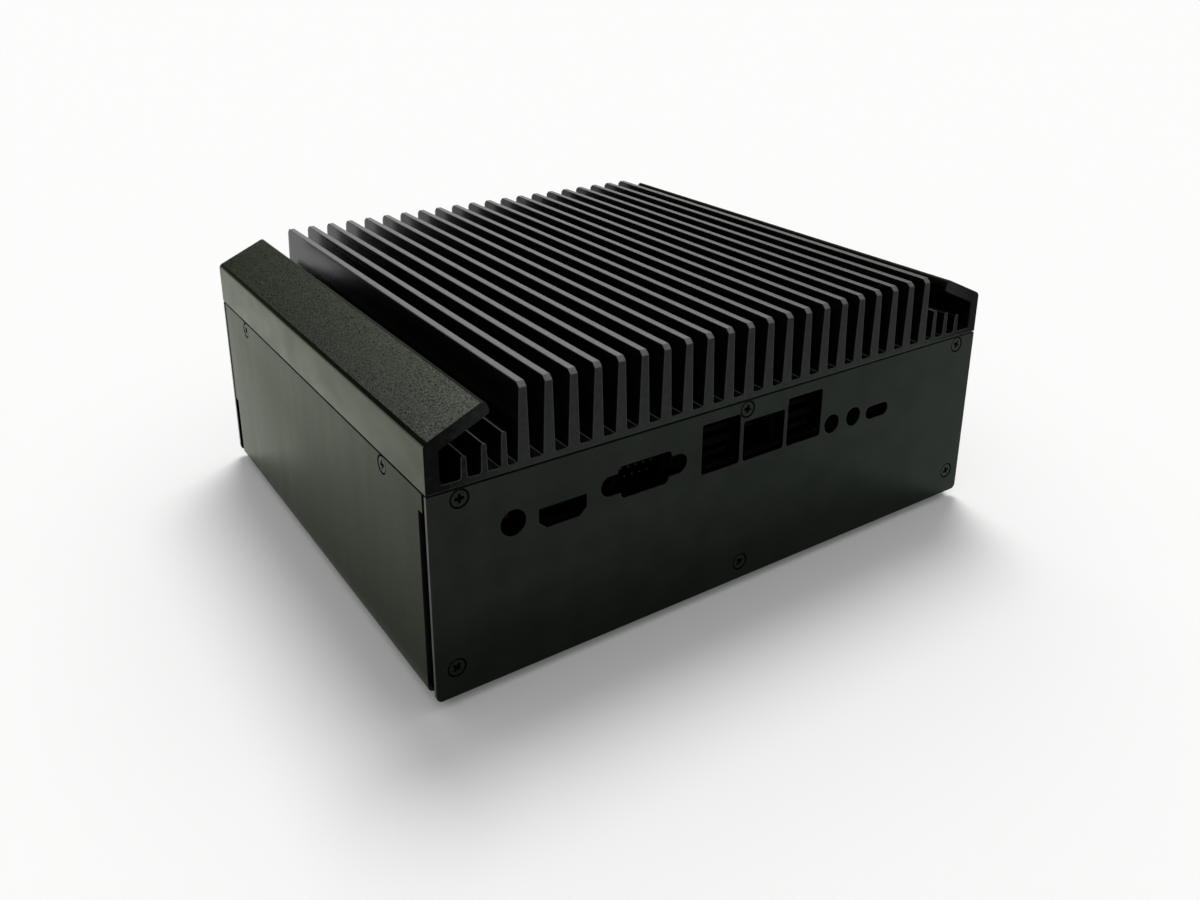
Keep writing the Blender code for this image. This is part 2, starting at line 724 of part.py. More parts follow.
def port_mouths(shape, port, x, z, front):
    """Hollows a port's mouth, leaving the tongue or pin that stands in it."""
    deep = front + port.depth - MOUTH_FLOOR
    reach = (front - CUT_PAST, deep)
    width = port.width - 2 * (port.margin + MOUTH_WALL)
    height = port.height - 2 * (port.margin + MOUTH_WALL)
    middle = (x, z)
    tongue_w = width - 2 * TONGUE_SIDE
    if port.node == "dc_jack":
        ring(shape, circle(DC_BORE_R, centre=middle), circle(DC_PIN_R, centre=middle), *reach)
    elif port.node == "hdmi_port":
        tongue = hdmi_outline(tongue_w, HDMI_TONGUE_T, HDMI_TONGUE_T / 2, HDMI_TONGUE_T / 2, middle)
        ring(shape, hdmi_outline(width, height, HDMI_CHAMFER_W, HDMI_CHAMFER_H, middle), tongue, *reach)
    elif port.node == "serial_port":
        shell = dsub_outline(port.height - 2 * DSUB_SHELL_GAP, DSUB_SHELL_GAP, middle)
        block = dsub_outline(port.height - 4 * DSUB_SHELL_GAP, 2 * DSUB_SHELL_GAP, middle)
        ring(shape, shell, block, *reach)
    elif port.node == "lan_jack":
        low = z - (LAN_MOUTH_H + LAN_LATCH_H) / 2
        top = low + LAN_MOUTH_H
        peak = top + LAN_LATCH_H
        half = LAN_MOUTH_W / 2
        latch = LAN_LATCH_W / 2
        right = [(half, low), (half, top), (latch, top), (latch, peak)]
        left = [(-reach_x, level) for reach_x, level in reversed(right)]
        prism(shape, [(x + reach_x, level) for reach_x, level in right + left], *reach)
    elif port.node == "usb_c_port":
        tongue = rectangle(tongue_w, USB_C_TONGUE_T, USB_C_TONGUE_T / 2 - WELD, middle)
        ring(shape, rectangle(width, height, height / 2 - WELD, middle), tongue, *reach)
    elif port.width == port.height:
        prism(shape, circle(AUDIO_BORE_R, centre=middle), *reach)
    else:
        for level in (z - port.height / 4, z + port.height / 4):
            tongue = rectangle(tongue_w, USB_TONGUE_T, centre=(x, level))
            ring(shape, rectangle(width, USB_MOUTH_H, centre=(x, level)), tongue, *reach)


def make_ports():
    """The connectors on the board's front edge, each behind its cut-out."""
    front = PANEL_T + PORT_SETBACK
    for port, x, z in port_places():
        top = z + port.height / 2 - port.margin
        body_w = port.width - 2 * port.margin
        shape = bmesh.new()
        outline = rectangle(body_w, top - ON_BOARD, centre=(x, (top + ON_BOARD) / 2))
        prism(shape, outline, front, front + port.depth)
        body = piece(port.node, mesh_of(port.node, shape), dark_shell)
        mouth = bmesh.new()
        port_mouths(mouth, port, x, z, front)
        combine(body, tool(f"{port.node}_mouth", mouth))


def make_panel_screws():
    """Sixteen alike countersunk screws with a cross recess."""
    shape = bmesh.new()
    turned(shape, countersunk_profile(0.0, -SCREW_SINK), FINE_STEPS)
    model = piece("screw_model", mesh_of("countersunk_screw", shape), black_steel)
    cross = bmesh.new()
    half_l = RECESS_L / 2
    half_w = RECESS_W / 2
    arm = [(half_w, half_l), (half_w, half_w), (half_l, half_w)]
    outline = arm + [(v, -u) for u, v in arm] + [(-u, -v) for u, v in arm] + [(-v, u) for u, v in arm]
    prism(cross, outline, -SCREW_SINK - RECESS_DEPTH, CUT_PAST, "z")
    recess = tool("cross_recess", cross)
    combine(model, recess)
    evaluated = model.evaluated_get(bpy.context.evaluated_depsgraph_get())
    mesh = bpy.data.meshes.new_from_object(evaluated)
    bpy.data.objects.remove(model)
    bpy.data.objects.remove(recess)
    for node, at, facing in screw_places():
        piece(node, mesh, black_steel, at, facing)


def pan_profile(length, head_r, shank_r):
    """A pan-head screw with its seat at z = 0 and its head above."""
    crown = head_r * PAN_CROWN
    return [
        (0.0, PAN_HEAD_H),
        (crown, PAN_HEAD_H),
        (head_r, PAN_HEAD_H / 2),
        (head_r, 0.0),
        (shank_r, 0.0),
        (shank_r, -length),
        (0.0, -length),
    ]


def make_board():
    """The mainboard: one thin plate with its four fixing holes."""
    centre = (BOARD_X + BOARD_W / 2, BOARD_Y + BOARD_D / 2)
    shape = bmesh.new()
    prism(shape, rectangle(BOARD_W, BOARD_D, centre=centre), BOARD_UNDER, BOARD_TOP, "z")
    board = piece("mainboard", mesh_of("mainboard", shape), circuit_board)
    holes = bmesh.new()
    for place in board_hole_places():
        outline = circle(SCREW_R + FIT, centre=place)
        prism(holes, outline, BOARD_UNDER - CUT_PAST, BOARD_TOP + CUT_PAST, "z")
    combine(board, tool("board_holes", holes))


def make_standoffs():
    """Hexagonal standoffs screwed up into the extrusion, and the screws that hold the board to them."""
    bore_r = (SCREW_R + FIT) / math.cos(math.pi / 6)
    bore_end = PAN_SCREW_L - BOARD_T - 2 * FIT + BORE_PAST
    stud_end = STANDOFF_L + STUD_L
    profile = [(0.0, bore_end), (bore_r, bore_end), (bore_r, 0.0), (STANDOFF_R, 0.0)]
    profile += [(STANDOFF_R, STANDOFF_L), (SCREW_R, STANDOFF_L), (SCREW_R, stud_end), (0.0, stud_end)]
    standoff = turned_mesh("board_standoff", profile, 6)
    screw = turned_mesh("board_screw", pan_profile(PAN_SCREW_L, PAN_HEAD_R, SCREW_R))
    for number, (x, y) in enumerate(board_hole_places(), 1):
        piece(f"board_standoff_{number}", standoff, brass, (x, y, ON_BOARD))
        piece(f"board_screw_{number}", screw, bright_steel, (x, y, BOARD_UNDER - FIT), DOWN)


def make_processor():
    """The processor: a square carrier with a smaller raised die."""
    shape = bmesh.new()
    outline = rectangle(CHIP_W, CHIP_W, centre=block_centre())
    prism(shape, outline, ON_BOARD, ON_BOARD + CHIP_SUBSTRATE_T, "z")
    top = max(shape.faces, key=lambda face: face.calc_center_median().z)
    bmesh.ops.inset_individual(shape, faces=[top], thickness=(CHIP_W - DIE_W) / 2)
    die = bmesh.ops.extrude_discrete_faces(shape, faces=[top])["faces"][0]
    bmesh.ops.translate(shape, vec=(0.0, 0.0, DIE_T), verts=die.verts)
    piece("processor", mesh_of("processor", shape), chip_green)


def make_cooling_block():
    """The aluminium block from the die to the extrusion, held by a screw in each ear."""
    x, y = block_centre()
    low = ON_BOARD + CHIP_SUBSTRATE_T + DIE_T + FIT
    top = BASE_UNDER - FIT
    shelf = top - BLOCK_EAR_T
    half = BLOCK_W / 2
    ear = half + BLOCK_EAR_L
    right = [(half, low, BLOCK_EDGE), (half, shelf, 0.0), (ear, shelf, 0.0), (ear, top, 0.0)]
    left = [(-reach, z, radius) for reach, z, radius in reversed(right)]
    shape = bmesh.new()
    outline = rounded([(x + reach, z, radius) for reach, z, radius in right + left])
    prism(shape, outline, y - half, y + half)
    block = piece("cooling_block", mesh_of("cooling_block", shape), bare_aluminium)
    holes = bmesh.new()
    profile = pan_profile(BLOCK_EAR_T + STUD_L + FIT, PAN_HEAD_R, SCREW_R)
    screw = turned_mesh("cooling_block_screw", profile)
    for number, place in enumerate(block_screw_places(), 1):
        prism(holes, circle(SCREW_R + FIT, centre=place), shelf - CUT_PAST, top + CUT_PAST, "z")
        piece(f"cooling_block_screw_{number}", screw, bright_steel, (*place, shelf - FIT), DOWN)
    combine(block, tool("cooling_block_holes", holes))


def slot_socket(node, x, y, width, length, height, slot_low, slot_high):
    """A card socket on the board, with its slot in the side that faces the ports."""
    top = ON_BOARD + height
    grip = y + SOCKET_GRIP + FIT
    profile = [(y, ON_BOARD), (y + length, ON_BOARD), (y + length, top), (y, top)]
    profile += [(y, slot_high), (grip, slot_high), (grip, slot_low), (y, slot_low)]
    shape = bmesh.new()
    prism(shape, profile, x - width / 2, x + width / 2, "x")
    piece(node, mesh_of(node, shape), black_plastic)


def make_memory():
    """A memory module lying flat in its socket."""
    x = BOARD_X + BOARD_W - MEMORY_INSET_X - SOCKET_W / 2
    socket_y = BOARD_Y + BOARD_D - MEMORY_INSET_Y - SOCKET_L
    low = ON_BOARD + MODULE_LIFT
    top = low + MODULE_T
    slot_socket("memory_socket", x, socket_y, SOCKET_W, SOCKET_L, SOCKET_H, low - FIT, top + FIT)
    back = socket_y + SOCKET_GRIP
    front = back - MODULE_L
    half = MODULE_W / 2
    key = x + MODULE_KEY_X
    key_half = MODULE_KEY_W / 2
    outline = [(x - half, front), (x + half, front), (x + half, back), (key + key_half, back)]
    outline += [(key + key_half, back - MODULE_KEY_D), (key - key_half, back - MODULE_KEY_D)]
    outline += [(key - key_half, back), (x - half, back)]
    shape = bmesh.new()
    prism(shape, outline, low, top, "z")
    module = piece("memory_module", mesh_of("memory_module", shape), circuit_board)
    chips = bmesh.new()
    chip_y = front + MODULE_CHIP_W
    for number in range(MODULE_CHIP_COUNT):
        chip_x = x - half + MODULE_W * (number + 0.5) / MODULE_CHIP_COUNT
        outline = rectangle(MODULE_CHIP_W, MODULE_CHIP_W, centre=(chip_x, chip_y))
        prism(chips, outline, top - MODULE_T / 2, top + MODULE_CHIP_T, "z")
    combine(module, tool("memory_chips", chips), "UNION")


def make_ssd():
    """A short solid-state card in its socket, screwed to a post at its free end."""
    x = BOARD_X + BOARD_W - SSD_INSET_X - SSD_W / 2
    front = BOARD_Y + SSD_Y
    back = front + SSD_L
    low = ON_BOARD + SSD_LIFT
    top = low + SSD_T
    socket_y = back - SOCKET_GRIP
    slot_socket("ssd_socket", x, socket_y, SSD_W, SSD_SOCKET_L, SSD_SOCKET_H, low - FIT, top + FIT)
    half = SSD_W / 2
    notch_r = SSD_SCREW_R + FIT
    turns = [math.pi * step / 6 for step in range(7)]
    outline = [(x - notch_r * math.cos(turn), front + notch_r * math.sin(turn)) for turn in turns]
    outline += [(x + half, front), (x + half, back), (x - half, back), (x - half, front)]
    shape = bmesh.new()
    prism(shape, outline, low, top, "z")
    card = piece("ssd_card", mesh_of("ssd_card", shape), circuit_board)
    chip = bmesh.new()
    outline = rectangle(SSD_W - 2 * SSD_CHIP_EDGE, SSD_L / 2, centre=(x, (front + back) / 2))
    prism(chip, outline, top - SSD_T / 2, top + SSD_CHIP_T, "z")
    combine(card, tool("ssd_chip", chip), "UNION")
    post_h = SSD_LIFT - FIT
    post = [(notch_r, 0.0), (SSD_POST_R, 0.0), (SSD_POST_R, post_h), (notch_r, post_h), (notch_r, 0.0)]
    piece("ssd_post", turned_mesh("ssd_post", post), brass, (x, front, ON_BOARD))
    screw = pan_profile(SSD_LIFT + SSD_T, SSD_POST_R, SSD_SCREW_R)
    piece("ssd_screw", turned_mesh("ssd_screw", screw), bright_steel, (x, front, top + FIT))


def make_coin_cell():
    """The clock's coin cell in its round holder."""
    at = (BOARD_X + BOARD_W - CELL_INSET_X, BOARD_Y + CELL_Y, ON_BOARD)
    inner_r = CELL_R + FIT
    outer_r = inner_r + HOLDER_WALL
    rim = HOLDER_FLOOR + HOLDER_RIM_H
    holder = [(0.0, 0.0), (outer_r, 0.0), (outer_r, rim), (inner_r, rim)]
    holder += [(inner_r, HOLDER_FLOOR), (0.0, HOLDER_FLOOR)]
    piece("coin_cell_holder", turned_mesh("coin_cell_holder", holder, FINE_STEPS), black_plastic, at)
    low = HOLDER_FLOOR + FIT
    top = low + CELL_T
    cell = [(0.0, low), (CELL_R - CELL_LIP, low), (CELL_R, low + CELL_LIP), (CELL_R, top), (0.0, top)]
    piece("coin_cell", turned_mesh("coin_cell", cell, FINE_STEPS), bright_steel, at)


def make_power_button():
    """The push button: a bezelled body through the panel, its nut behind, and the cap that moves in it."""
    at = (BUTTON_X, CASE_D, BUTTON_Z)
    face = FIT + BUTTON_BEZEL_T
    bore_r = BUTTON_CAP_R + FIT
    cap_top = face + BUTTON_PROUD
    cap_low = cap_top - BUTTON_CAP_L
    bore_end = cap_low - BUTTON_TRAVEL - FIT
    edge = BUTTON_SOFT_EDGE
    body = [(0.0, bore_end), (bore_r, bore_end), (bore_r, face), (BUTTON_BEZEL_R - edge, face)]
    body += [(BUTTON_BEZEL_R, face - edge), (BUTTON_BEZEL_R, FIT), (BUTTON_BODY_R, FIT)]
    body += [(BUTTON_BODY_R, -BUTTON_BODY_L), (0.0, -BUTTON_BODY_L)]
    body_mesh = turned_mesh("power_button_body", body, FINE_STEPS)
    piece("power_button_body", body_mesh, black_steel, at, TO_BACK)
    cap = [(0.0, cap_low), (BUTTON_CAP_R, cap_low), (BUTTON_CAP_R, cap_top - edge)]
    cap += [(BUTTON_CAP_R - edge, cap_top), (0.0, cap_top)]
    cap_mesh = turned_mesh("power_button_cap", cap, FINE_STEPS)
    piece("power_button_cap", cap_mesh, bright_steel, at, TO_BACK)
    nut_bore = (BUTTON_BODY_R + FIT) / math.cos(math.pi / 6)
    nut_top = -PANEL_T - FIT
    nut_low = nut_top - BUTTON_NUT_T
    nut = [(nut_bore, nut_low), (BUTTON_NUT_R, nut_low), (BUTTON_NUT_R, nut_top)]
    nut += [(nut_bore, nut_top), (nut_bore, nut_low)]
    piece("power_button_nut", turned_mesh("power_button_nut", nut, 6), bright_steel, at, TO_BACK)


def make_light_pipes():
    """Two clear pipes that bring the power and drive lights to the panel, collared behind it."""
    collar = -PANEL_T - FIT
    collar_end = collar - PIPE_COLLAR_T
    round_off = math.sqrt(0.5)
    profile = [(0.0, PIPE_DOME), (PIPE_R * round_off, PIPE_DOME * round_off), (PIPE_R, 0.0), (PIPE_R, collar)]
    profile += [(PIPE_COLLAR_R, collar), (PIPE_COLLAR_R, collar_end), (PIPE_R, collar_end)]
    profile += [(PIPE_R, collar - PIPE_TAIL), (0.0, collar - PIPE_TAIL)]
    mesh = turned_mesh("light_pipe", profile)
    for number, (x, z) in enumerate(pipe_places(), 1):
        piece(f"light_pipe_{number}", mesh, clear_plastic, (x, CASE_D, z), TO_BACK)


def make_feet():
    """Four round rubber feet under the tray."""
    top = FOOT_H - FIT
    profile = [(0.0, 0.0), (FOOT_R - FOOT_EDGE, 0.0), (FOOT_R, FOOT_EDGE), (FOOT_R, top), (0.0, top)]
    mesh = turned_mesh("foot", profile)
    far_x = CASE_W - FOOT_INSET
    far_y = CASE_D - FOOT_INSET
    spots = [(FOOT_INSET, FOOT_INSET), (far_x, FOOT_INSET), (FOOT_INSET, far_y), (far_x, far_y)]
    for number, (x, y) in enumerate(spots, 1):
        piece(f"foot_{number}", mesh, rubber, (x, y, 0.0))


for old in list(bpy.data.objects):
    bpy.data.objects.remove(old)

tool_look = finish("tool", (0.8, 0.3, 0.1), 0.5)
black_aluminium = finish("black_anodised_aluminium", (0.020, 0.021, 0.021), 0.45, 0.7)
black_sheet = finish("black_satin_sheet", (0.024, 0.025, 0.024), 0.38, 0.4)
black_panel = finish("black_satin_panel", (0.020, 0.021, 0.020), 0.42, 0.4)
black_steel = finish("blackened_steel", (0.022, 0.022, 0.023), 0.35, 0.8)
bright_steel = finish("bright_steel", (0.55, 0.55, 0.56), 0.30, 1.0)
bare_aluminium = finish("bare_aluminium", (0.60, 0.61, 0.62), 0.38, 1.0)
brass = finish("brass", (0.58, 0.42, 0.18), 0.32, 1.0)
dark_shell = finish("dark_port_shell", (0.012, 0.012, 0.013), 0.50, 0.3)
black_plastic = finish("black_plastic", (0.015, 0.015, 0.016), 0.55)
clear_plastic = finish("clear_plastic", (0.72, 0.75, 0.76), 0.20)
circuit_board = finish("circuit_board", (0.010, 0.030, 0.018), 0.50)
chip_green = finish("chip_carrier", (0.020, 0.070, 0.040), 0.45)
rubber = finish("rubber", (0.016, 0.016, 0.016), 0.80)

case = bpy.data.objects.new("mini_pc", None)
case.location = (-CASE_W / 2, -OVERALL_D / 2, 0.0)
bpy.context.scene.collection.objects.link(case)

screw_room = bmesh.new()
for screw_node, screw_at, screw_facing in screw_places():
    turned(screw_room, countersunk_profile(SCREW_PLAY, CUT_PAST), ROUND_STEPS, screw_at, screw_facing)
fastener_space = tool("fastener_space", screw_room)

make_heatsink()
make_tray()
make_io_panel()
make_button_panel()
make_panel_screws()
make_board()
make_standoffs()
make_processor()
make_cooling_block()
make_memory()
make_ssd()
make_coin_cell()
make_ports()
make_power_button()
make_light_pipes()
make_feet()
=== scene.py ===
"""Looks of the fanless mini PC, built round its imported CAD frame.

Sizes are in metres, in case coordinates: x runs along the port panel from the case's left side, y from
the port panel's face towards the button panel, and z up from the soles of the feet.
"""

import json
import math

import bmesh
import bpy
from mathutils import Euler, Matrix, Vector

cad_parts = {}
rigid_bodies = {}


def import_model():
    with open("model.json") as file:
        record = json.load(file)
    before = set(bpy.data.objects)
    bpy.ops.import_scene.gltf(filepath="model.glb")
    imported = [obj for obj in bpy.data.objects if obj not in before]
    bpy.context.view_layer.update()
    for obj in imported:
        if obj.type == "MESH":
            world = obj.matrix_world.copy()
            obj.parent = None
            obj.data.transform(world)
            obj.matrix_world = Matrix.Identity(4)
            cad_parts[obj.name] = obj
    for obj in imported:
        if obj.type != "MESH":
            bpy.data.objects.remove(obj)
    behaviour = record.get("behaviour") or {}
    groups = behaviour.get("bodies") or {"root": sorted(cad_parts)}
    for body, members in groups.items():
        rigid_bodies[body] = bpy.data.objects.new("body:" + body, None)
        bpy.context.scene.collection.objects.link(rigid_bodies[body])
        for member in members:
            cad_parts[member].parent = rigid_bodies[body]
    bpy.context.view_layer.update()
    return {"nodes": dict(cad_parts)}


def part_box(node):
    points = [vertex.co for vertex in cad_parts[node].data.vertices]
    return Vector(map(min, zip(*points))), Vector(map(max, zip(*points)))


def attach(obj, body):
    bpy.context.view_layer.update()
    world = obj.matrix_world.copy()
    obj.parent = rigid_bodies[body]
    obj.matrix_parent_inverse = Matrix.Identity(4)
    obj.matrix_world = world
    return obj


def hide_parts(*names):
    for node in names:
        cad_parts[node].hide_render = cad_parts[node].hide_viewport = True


for startup_object in list(bpy.data.objects):
    bpy.data.objects.remove(startup_object)
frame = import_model()
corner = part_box("heatsink_top")[0]
CASE_CORNER = Vector((corner.x, corner.y, 0.0))


# Studio: a pale floor that runs out of sight, in a room with pale walls, a dim band over them and a pale
# ceiling. A broad lamp stands high up and a weaker one low behind, as a small product is photographed.
FLOOR_HALF = 60.0
FLOOR_PALE = (0.87, 0.87, 0.865)
FLOOR_PALER = (0.90, 0.90, 0.895)
FLOOR_CLOUDS = 1.5
FLOOR_ROUGH = 0.9
FLOOR_LIFT = 0.07
ROOM_LEVEL = 0.60
# Elevation in degrees, and the room's shade there
ROOM_SHADES = ((0, 0.97), (8, 0.97), (10, 0.22), (26, 0.22), (42, 1.0))
# Lamp, its level, its softness and its tilt
LAMPS = (
    ("high_lamp", 1.72, math.radians(26), (math.radians(-28), 0.0, math.radians(-38))),
    ("low_back_lamp", 0.45, math.radians(44), (math.radians(-57), 0.0, math.radians(-25))),
)

scene = bpy.context.scene
scene.view_settings.view_transform = "Standard"


def wired(tree, node, sockets):
    """The node, with each socket given a plain value or linked to another node's output."""
    for socket, value in sockets.items():
        if isinstance(value, bpy.types.NodeSocket):
            tree.links.new(value, node.inputs[socket])
        else:
            node.inputs[socket].default_value = value
    return node


def worked_out(tree, operation, *terms):
    """Output of a math node. Each term is a plain number or another node's output."""
    node = wired(tree, tree.nodes.new("ShaderNodeMath"), dict(enumerate(terms)))
    node.operation = operation
    return node.outputs[0]


def raised_where_seen(tree, low, high):
    """The low level for light on a surface, the high one for the lens, gloss and clear plastic."""
    path = tree.nodes.new("ShaderNodeLightPath")
    seen = path.outputs["Is Camera Ray"]
    for ray in ("Is Glossy Ray", "Is Transmission Ray"):
        seen = worked_out(tree, "MAXIMUM", seen, path.outputs[ray])
    return worked_out(tree, "MULTIPLY_ADD", seen, high - low, low)


def shaded(tree, value, span, shades):
    """Colour that runs from the first shade to the second while the value crosses the span."""
    node = wired(tree, tree.nodes.new("ShaderNodeValToRGB"), {"Fac": value})
    for stop, position, shade in zip(node.color_ramp.elements, span, shades):
        stop.position = position
        stop.color = (*shade, 1.0)
    return node.outputs["Color"]


room = bpy.data.worlds.new("studio_room")
room.use_nodes = True
scene.world = room
room_tree = room.node_tree
room_place = room_tree.nodes.new("ShaderNodeTexCoord")
room_axes = room_tree.nodes.new("ShaderNodeSeparateXYZ")
room_shade = room_tree.nodes.new("ShaderNodeValToRGB")
for elevation, shade in ROOM_SHADES:
    stop = room_shade.color_ramp.elements.new(math.sin(math.radians(elevation)))
    stop.color = (shade, shade, shade, 1.0)
room_shade.color_ramp.elements.remove(room_shade.color_ramp.elements[0])
wired(room_tree, room_axes, {"Vector": room_place.outputs["Generated"]})
wired(room_tree, room_shade, {"Fac": room_axes.outputs["Z"]})
room_sockets = {
    "Color": room_shade.outputs["Color"],
    "Strength": raised_where_seen(room_tree, ROOM_LEVEL, 1.0),
}
wired(room_tree, room_tree.nodes["Background"], room_sockets)

floor_look = bpy.data.materials.new("studio_floor")
floor_look.use_nodes = True
floor_tree = floor_look.node_tree
floor_cloud = wired(floor_tree, floor_tree.nodes.new("ShaderNodeTexNoise"), {"Scale": FLOOR_CLOUDS})
floor_sockets = {
    "Base Color": shaded(floor_tree, floor_cloud.outputs["Fac"], (0.0, 1.0), (FLOOR_PALE, FLOOR_PALER)),
    "Roughness": FLOOR_ROUGH,
    "Specular IOR Level": 0.0,
    "Emission Color": (1.0, 1.0, 1.0, 1.0),
    "Emission Strength": raised_where_seen(floor_tree, 0.0, FLOOR_LIFT),
}
wired(floor_tree, floor_tree.nodes["Principled BSDF"], floor_sockets)

floor_sheet = bmesh.new()
bmesh.ops.create_grid(floor_sheet, x_segments=1, y_segments=1, size=FLOOR_HALF)
floor_mesh = bpy.data.meshes.new("studio_floor")
floor_sheet.to_mesh(floor_mesh)
floor_sheet.free()
floor_mesh.materials.append(floor_look)
floor = bpy.data.objects.new("studio_floor", floor_mesh)
scene.collection.objects.link(floor)

for name, level, softness, tilt in LAMPS:
    lamp_data = bpy.data.lights.new(name, "SUN")
    lamp_data.energy = level
    lamp_data.angle = softness
    lamp = bpy.data.objects.new(name, lamp_data)
    lamp.rotation_euler = tilt
    scene.collection.objects.link(lamp)


# Camera: it stands to the left of the port panel and above it, with the object high in its frame as in
# the photograph, so the lens is shifted down by an eighth of the picture's width.
CAMERA_AT = (-0.20794, -0.31776, 0.20464)
CAMERA_AZIMUTH = math.radians(-34.15)
CAMERA_DOWN = math.radians(19.05)
CAMERA_ROLL = math.radians(0.28)
FILM_WIDTH = 36.0
LENS = 31.72
LENS_SHIFT = -0.125
NEAREST = 0.01

camera_data = bpy.data.cameras.new("photo_camera")
camera_data.sensor_width = FILM_WIDTH
camera_data.lens = LENS
camera_data.shift_y = LENS_SHIFT
camera_data.clip_start = NEAREST
camera = bpy.data.objects.new("photo_camera", camera_data)
aim = Euler((math.pi / 2 - CAMERA_DOWN, 0.0, CAMERA_AZIMUTH)).to_matrix()
aim = aim @ Matrix.Rotation(CAMERA_ROLL, 3, "Z")
camera.matrix_world = Matrix.Translation(CAMERA_AT) @ aim.to_4x4()
scene.collection.objects.link(camera)
scene.camera = camera


# Heatsink lid: one aluminium extrusion, black anodised. Tall tapered fins stand between two wings that
# bend in over three low fins on each side. It is sawn to length, with milled ends and chamfered fins,
# and its lip steps down behind the seam, so that no light comes through.
CASE_W = 0.2200
CASE_D = 0.1850
PANEL_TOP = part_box("io_panel")[1].z
SEAM_GAP = 0.0003
SEAM_IN_SIDE = 0.0004
SEAM_IN_END = 0.0007
SEAM_SHUT = 0.00033
LIP = PANEL_TOP + SEAM_GAP
FIN_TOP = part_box("heatsink_top")[1].z
FIN_H = 0.0231
FIN_FLOOR = FIN_TOP - FIN_H
FIN_COUNT = 21
FIN_MARGIN = 0.0293
FIN_ROOT_T = 0.0039
FIN_TIP_T = 0.00235
FIN_TIP_R = 0.0003
FIN_ROOT_R = 0.0006
FIN_CHAMFER = 0.0014
LOW_FIN_COUNT = 3
LOW_FIN_MARGIN = 0.0112
LOW_FIN_H = 0.0066
LOW_FIN_STEP = 0.00185
LOW_FIN_ROOT_T = 0.0021
LOW_FIN_TIP_T = 0.0016
LOW_FIN_TIP_R = 0.0007
WALL_T = 0.0042
WING_BEND_Z = LIP + 0.01465
WING_BEND_R = 0.0020
WING_REACH = 0.0193
WING_SLOPE = math.radians(24.5)
WING_INNER_R = 0.0008
WING_TIP_R = 0.0012
LIP_R = 0.0003
SINK_EDGE = 0.00025
WALL_LEAN = math.radians(20)
BEND_LEAN = math.radians(3)
FIN_LEAN = math.radians(60)
SHEET_T = 0.0012
PANEL_T = 0.0015
FIT = 0.0003
END_STEP = PANEL_T + FIT
BASE_UNDER = LIP - 0.00315
RIB_UNDER = BASE_UNDER - 0.0027
SIDE_RIB_W = 0.0120
MID_RIB_W = 0.0062
ARC_STEP = math.radians(15)
SHARP = math.radians(20)
WELD = 0.000001
# The part of a noise's range over which a finish goes from dark to light, or from smooth to rough
NOISE_SPREAD = (0.30, 0.70)
# How the milled ends go from the dark wings to the paler fins, and how much cloud lies over that
MILLED_SPREAD = (0.15, 0.50)
MILLED_CLOUD = 0.30
DRAWN, BLASTED, MILLED, EDGE_WEAR_AND_HIGHLIGHT, SMOOTH, TOPPED, BEND_SHADE, CHAMFERED = range(8)


def rounded(corners):
    """Closed outline through (u, v, radius) corners, each rounded by its own radius."""
    points = []
    for index, (u, v, radius) in enumerate(corners):
        here = Vector((u, v))
        if not radius:
            points.append(here)
            continue
        before = (Vector(corners[index - 1][:2]) - here).normalized()
        after = (Vector(corners[(index + 1) % len(corners)][:2]) - here).normalized()
        half = before.angle(after) / 2
        centre = here + (before + after).normalized() * radius / math.sin(half)
        start = here + before * radius / math.tan(half) - centre
        turn = math.pi - 2 * half
        if before.x * after.y - before.y * after.x > 0:
            turn = -turn
        steps = max(2, math.ceil(abs(turn) / ARC_STEP))
        for step in range(steps + 1):
            points.append(centre + Matrix.Rotation(turn * step / steps, 2) @ start)
    return [tuple(point) for point in points]


def drawn_in(outline, depth):
    """The outline moved in by a depth all round, or out where the depth is negative."""
    points = [Vector(point) for point in outline]
    following = points[1:] + points[:1]
    area = sum(here.x * after.y - here.y * after.x for here, after in zip(points, following))
    side = depth if area > 0 else -depth
    moved = []
    for before, here, after in zip(points[-1:] + points[:-1], points, following):
        along_in = (here - before).normalized()
        along_out = (after - here).normalized()
        normal_in = Vector((-along_in.y, along_in.x))
        normal_out = Vector((-along_out.y, along_out.x))
        moved.append(here + side * (normal_in + normal_out) / (1 + normal_in.dot(normal_out)))
    return [tuple(point) for point in moved]


def broken_edge(size):
    """(in, down) steps of an edge that is rounded off by that size, from the face down to the wall."""
    turns = [math.radians(45) * step for step in range(3)]
    return [(size * (1 - math.sin(turn)), size * (1 - math.cos(turn))) for turn in turns]


def loop(shape, outline, level, along="y"):
    """The outline's points at one level along y or z."""
    order = {"y": (0, 2, 1), "z": (0, 1, 2)}[along]
    return [shape.verts.new([(u, v, level)[axis] for axis in order]) for u, v in outline]


def made_piece(name, shape, looks, body="chassis", at=CASE_CORNER, turn=None):
    """Turns the bmesh into a piece with its finishes, riding on a body of the frame."""
    bmesh.ops.remove_doubles(shape, verts=shape.verts, dist=WELD)
    bmesh.ops.recalc_face_normals(shape, faces=shape.faces)
    mesh = bpy.data.meshes.new(name)
    shape.to_mesh(mesh)
    shape.free()
    mesh.shade_smooth()
    mesh.set_sharp_from_angle(angle=SHARP)
    for look in looks:
        mesh.materials.append(look)
    piece = bpy.data.objects.new(name, mesh)
    piece.matrix_world = Matrix.Translation(at) @ (turn or Matrix.Identity(4))
    scene.collection.objects.link(piece)
    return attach(piece, body)


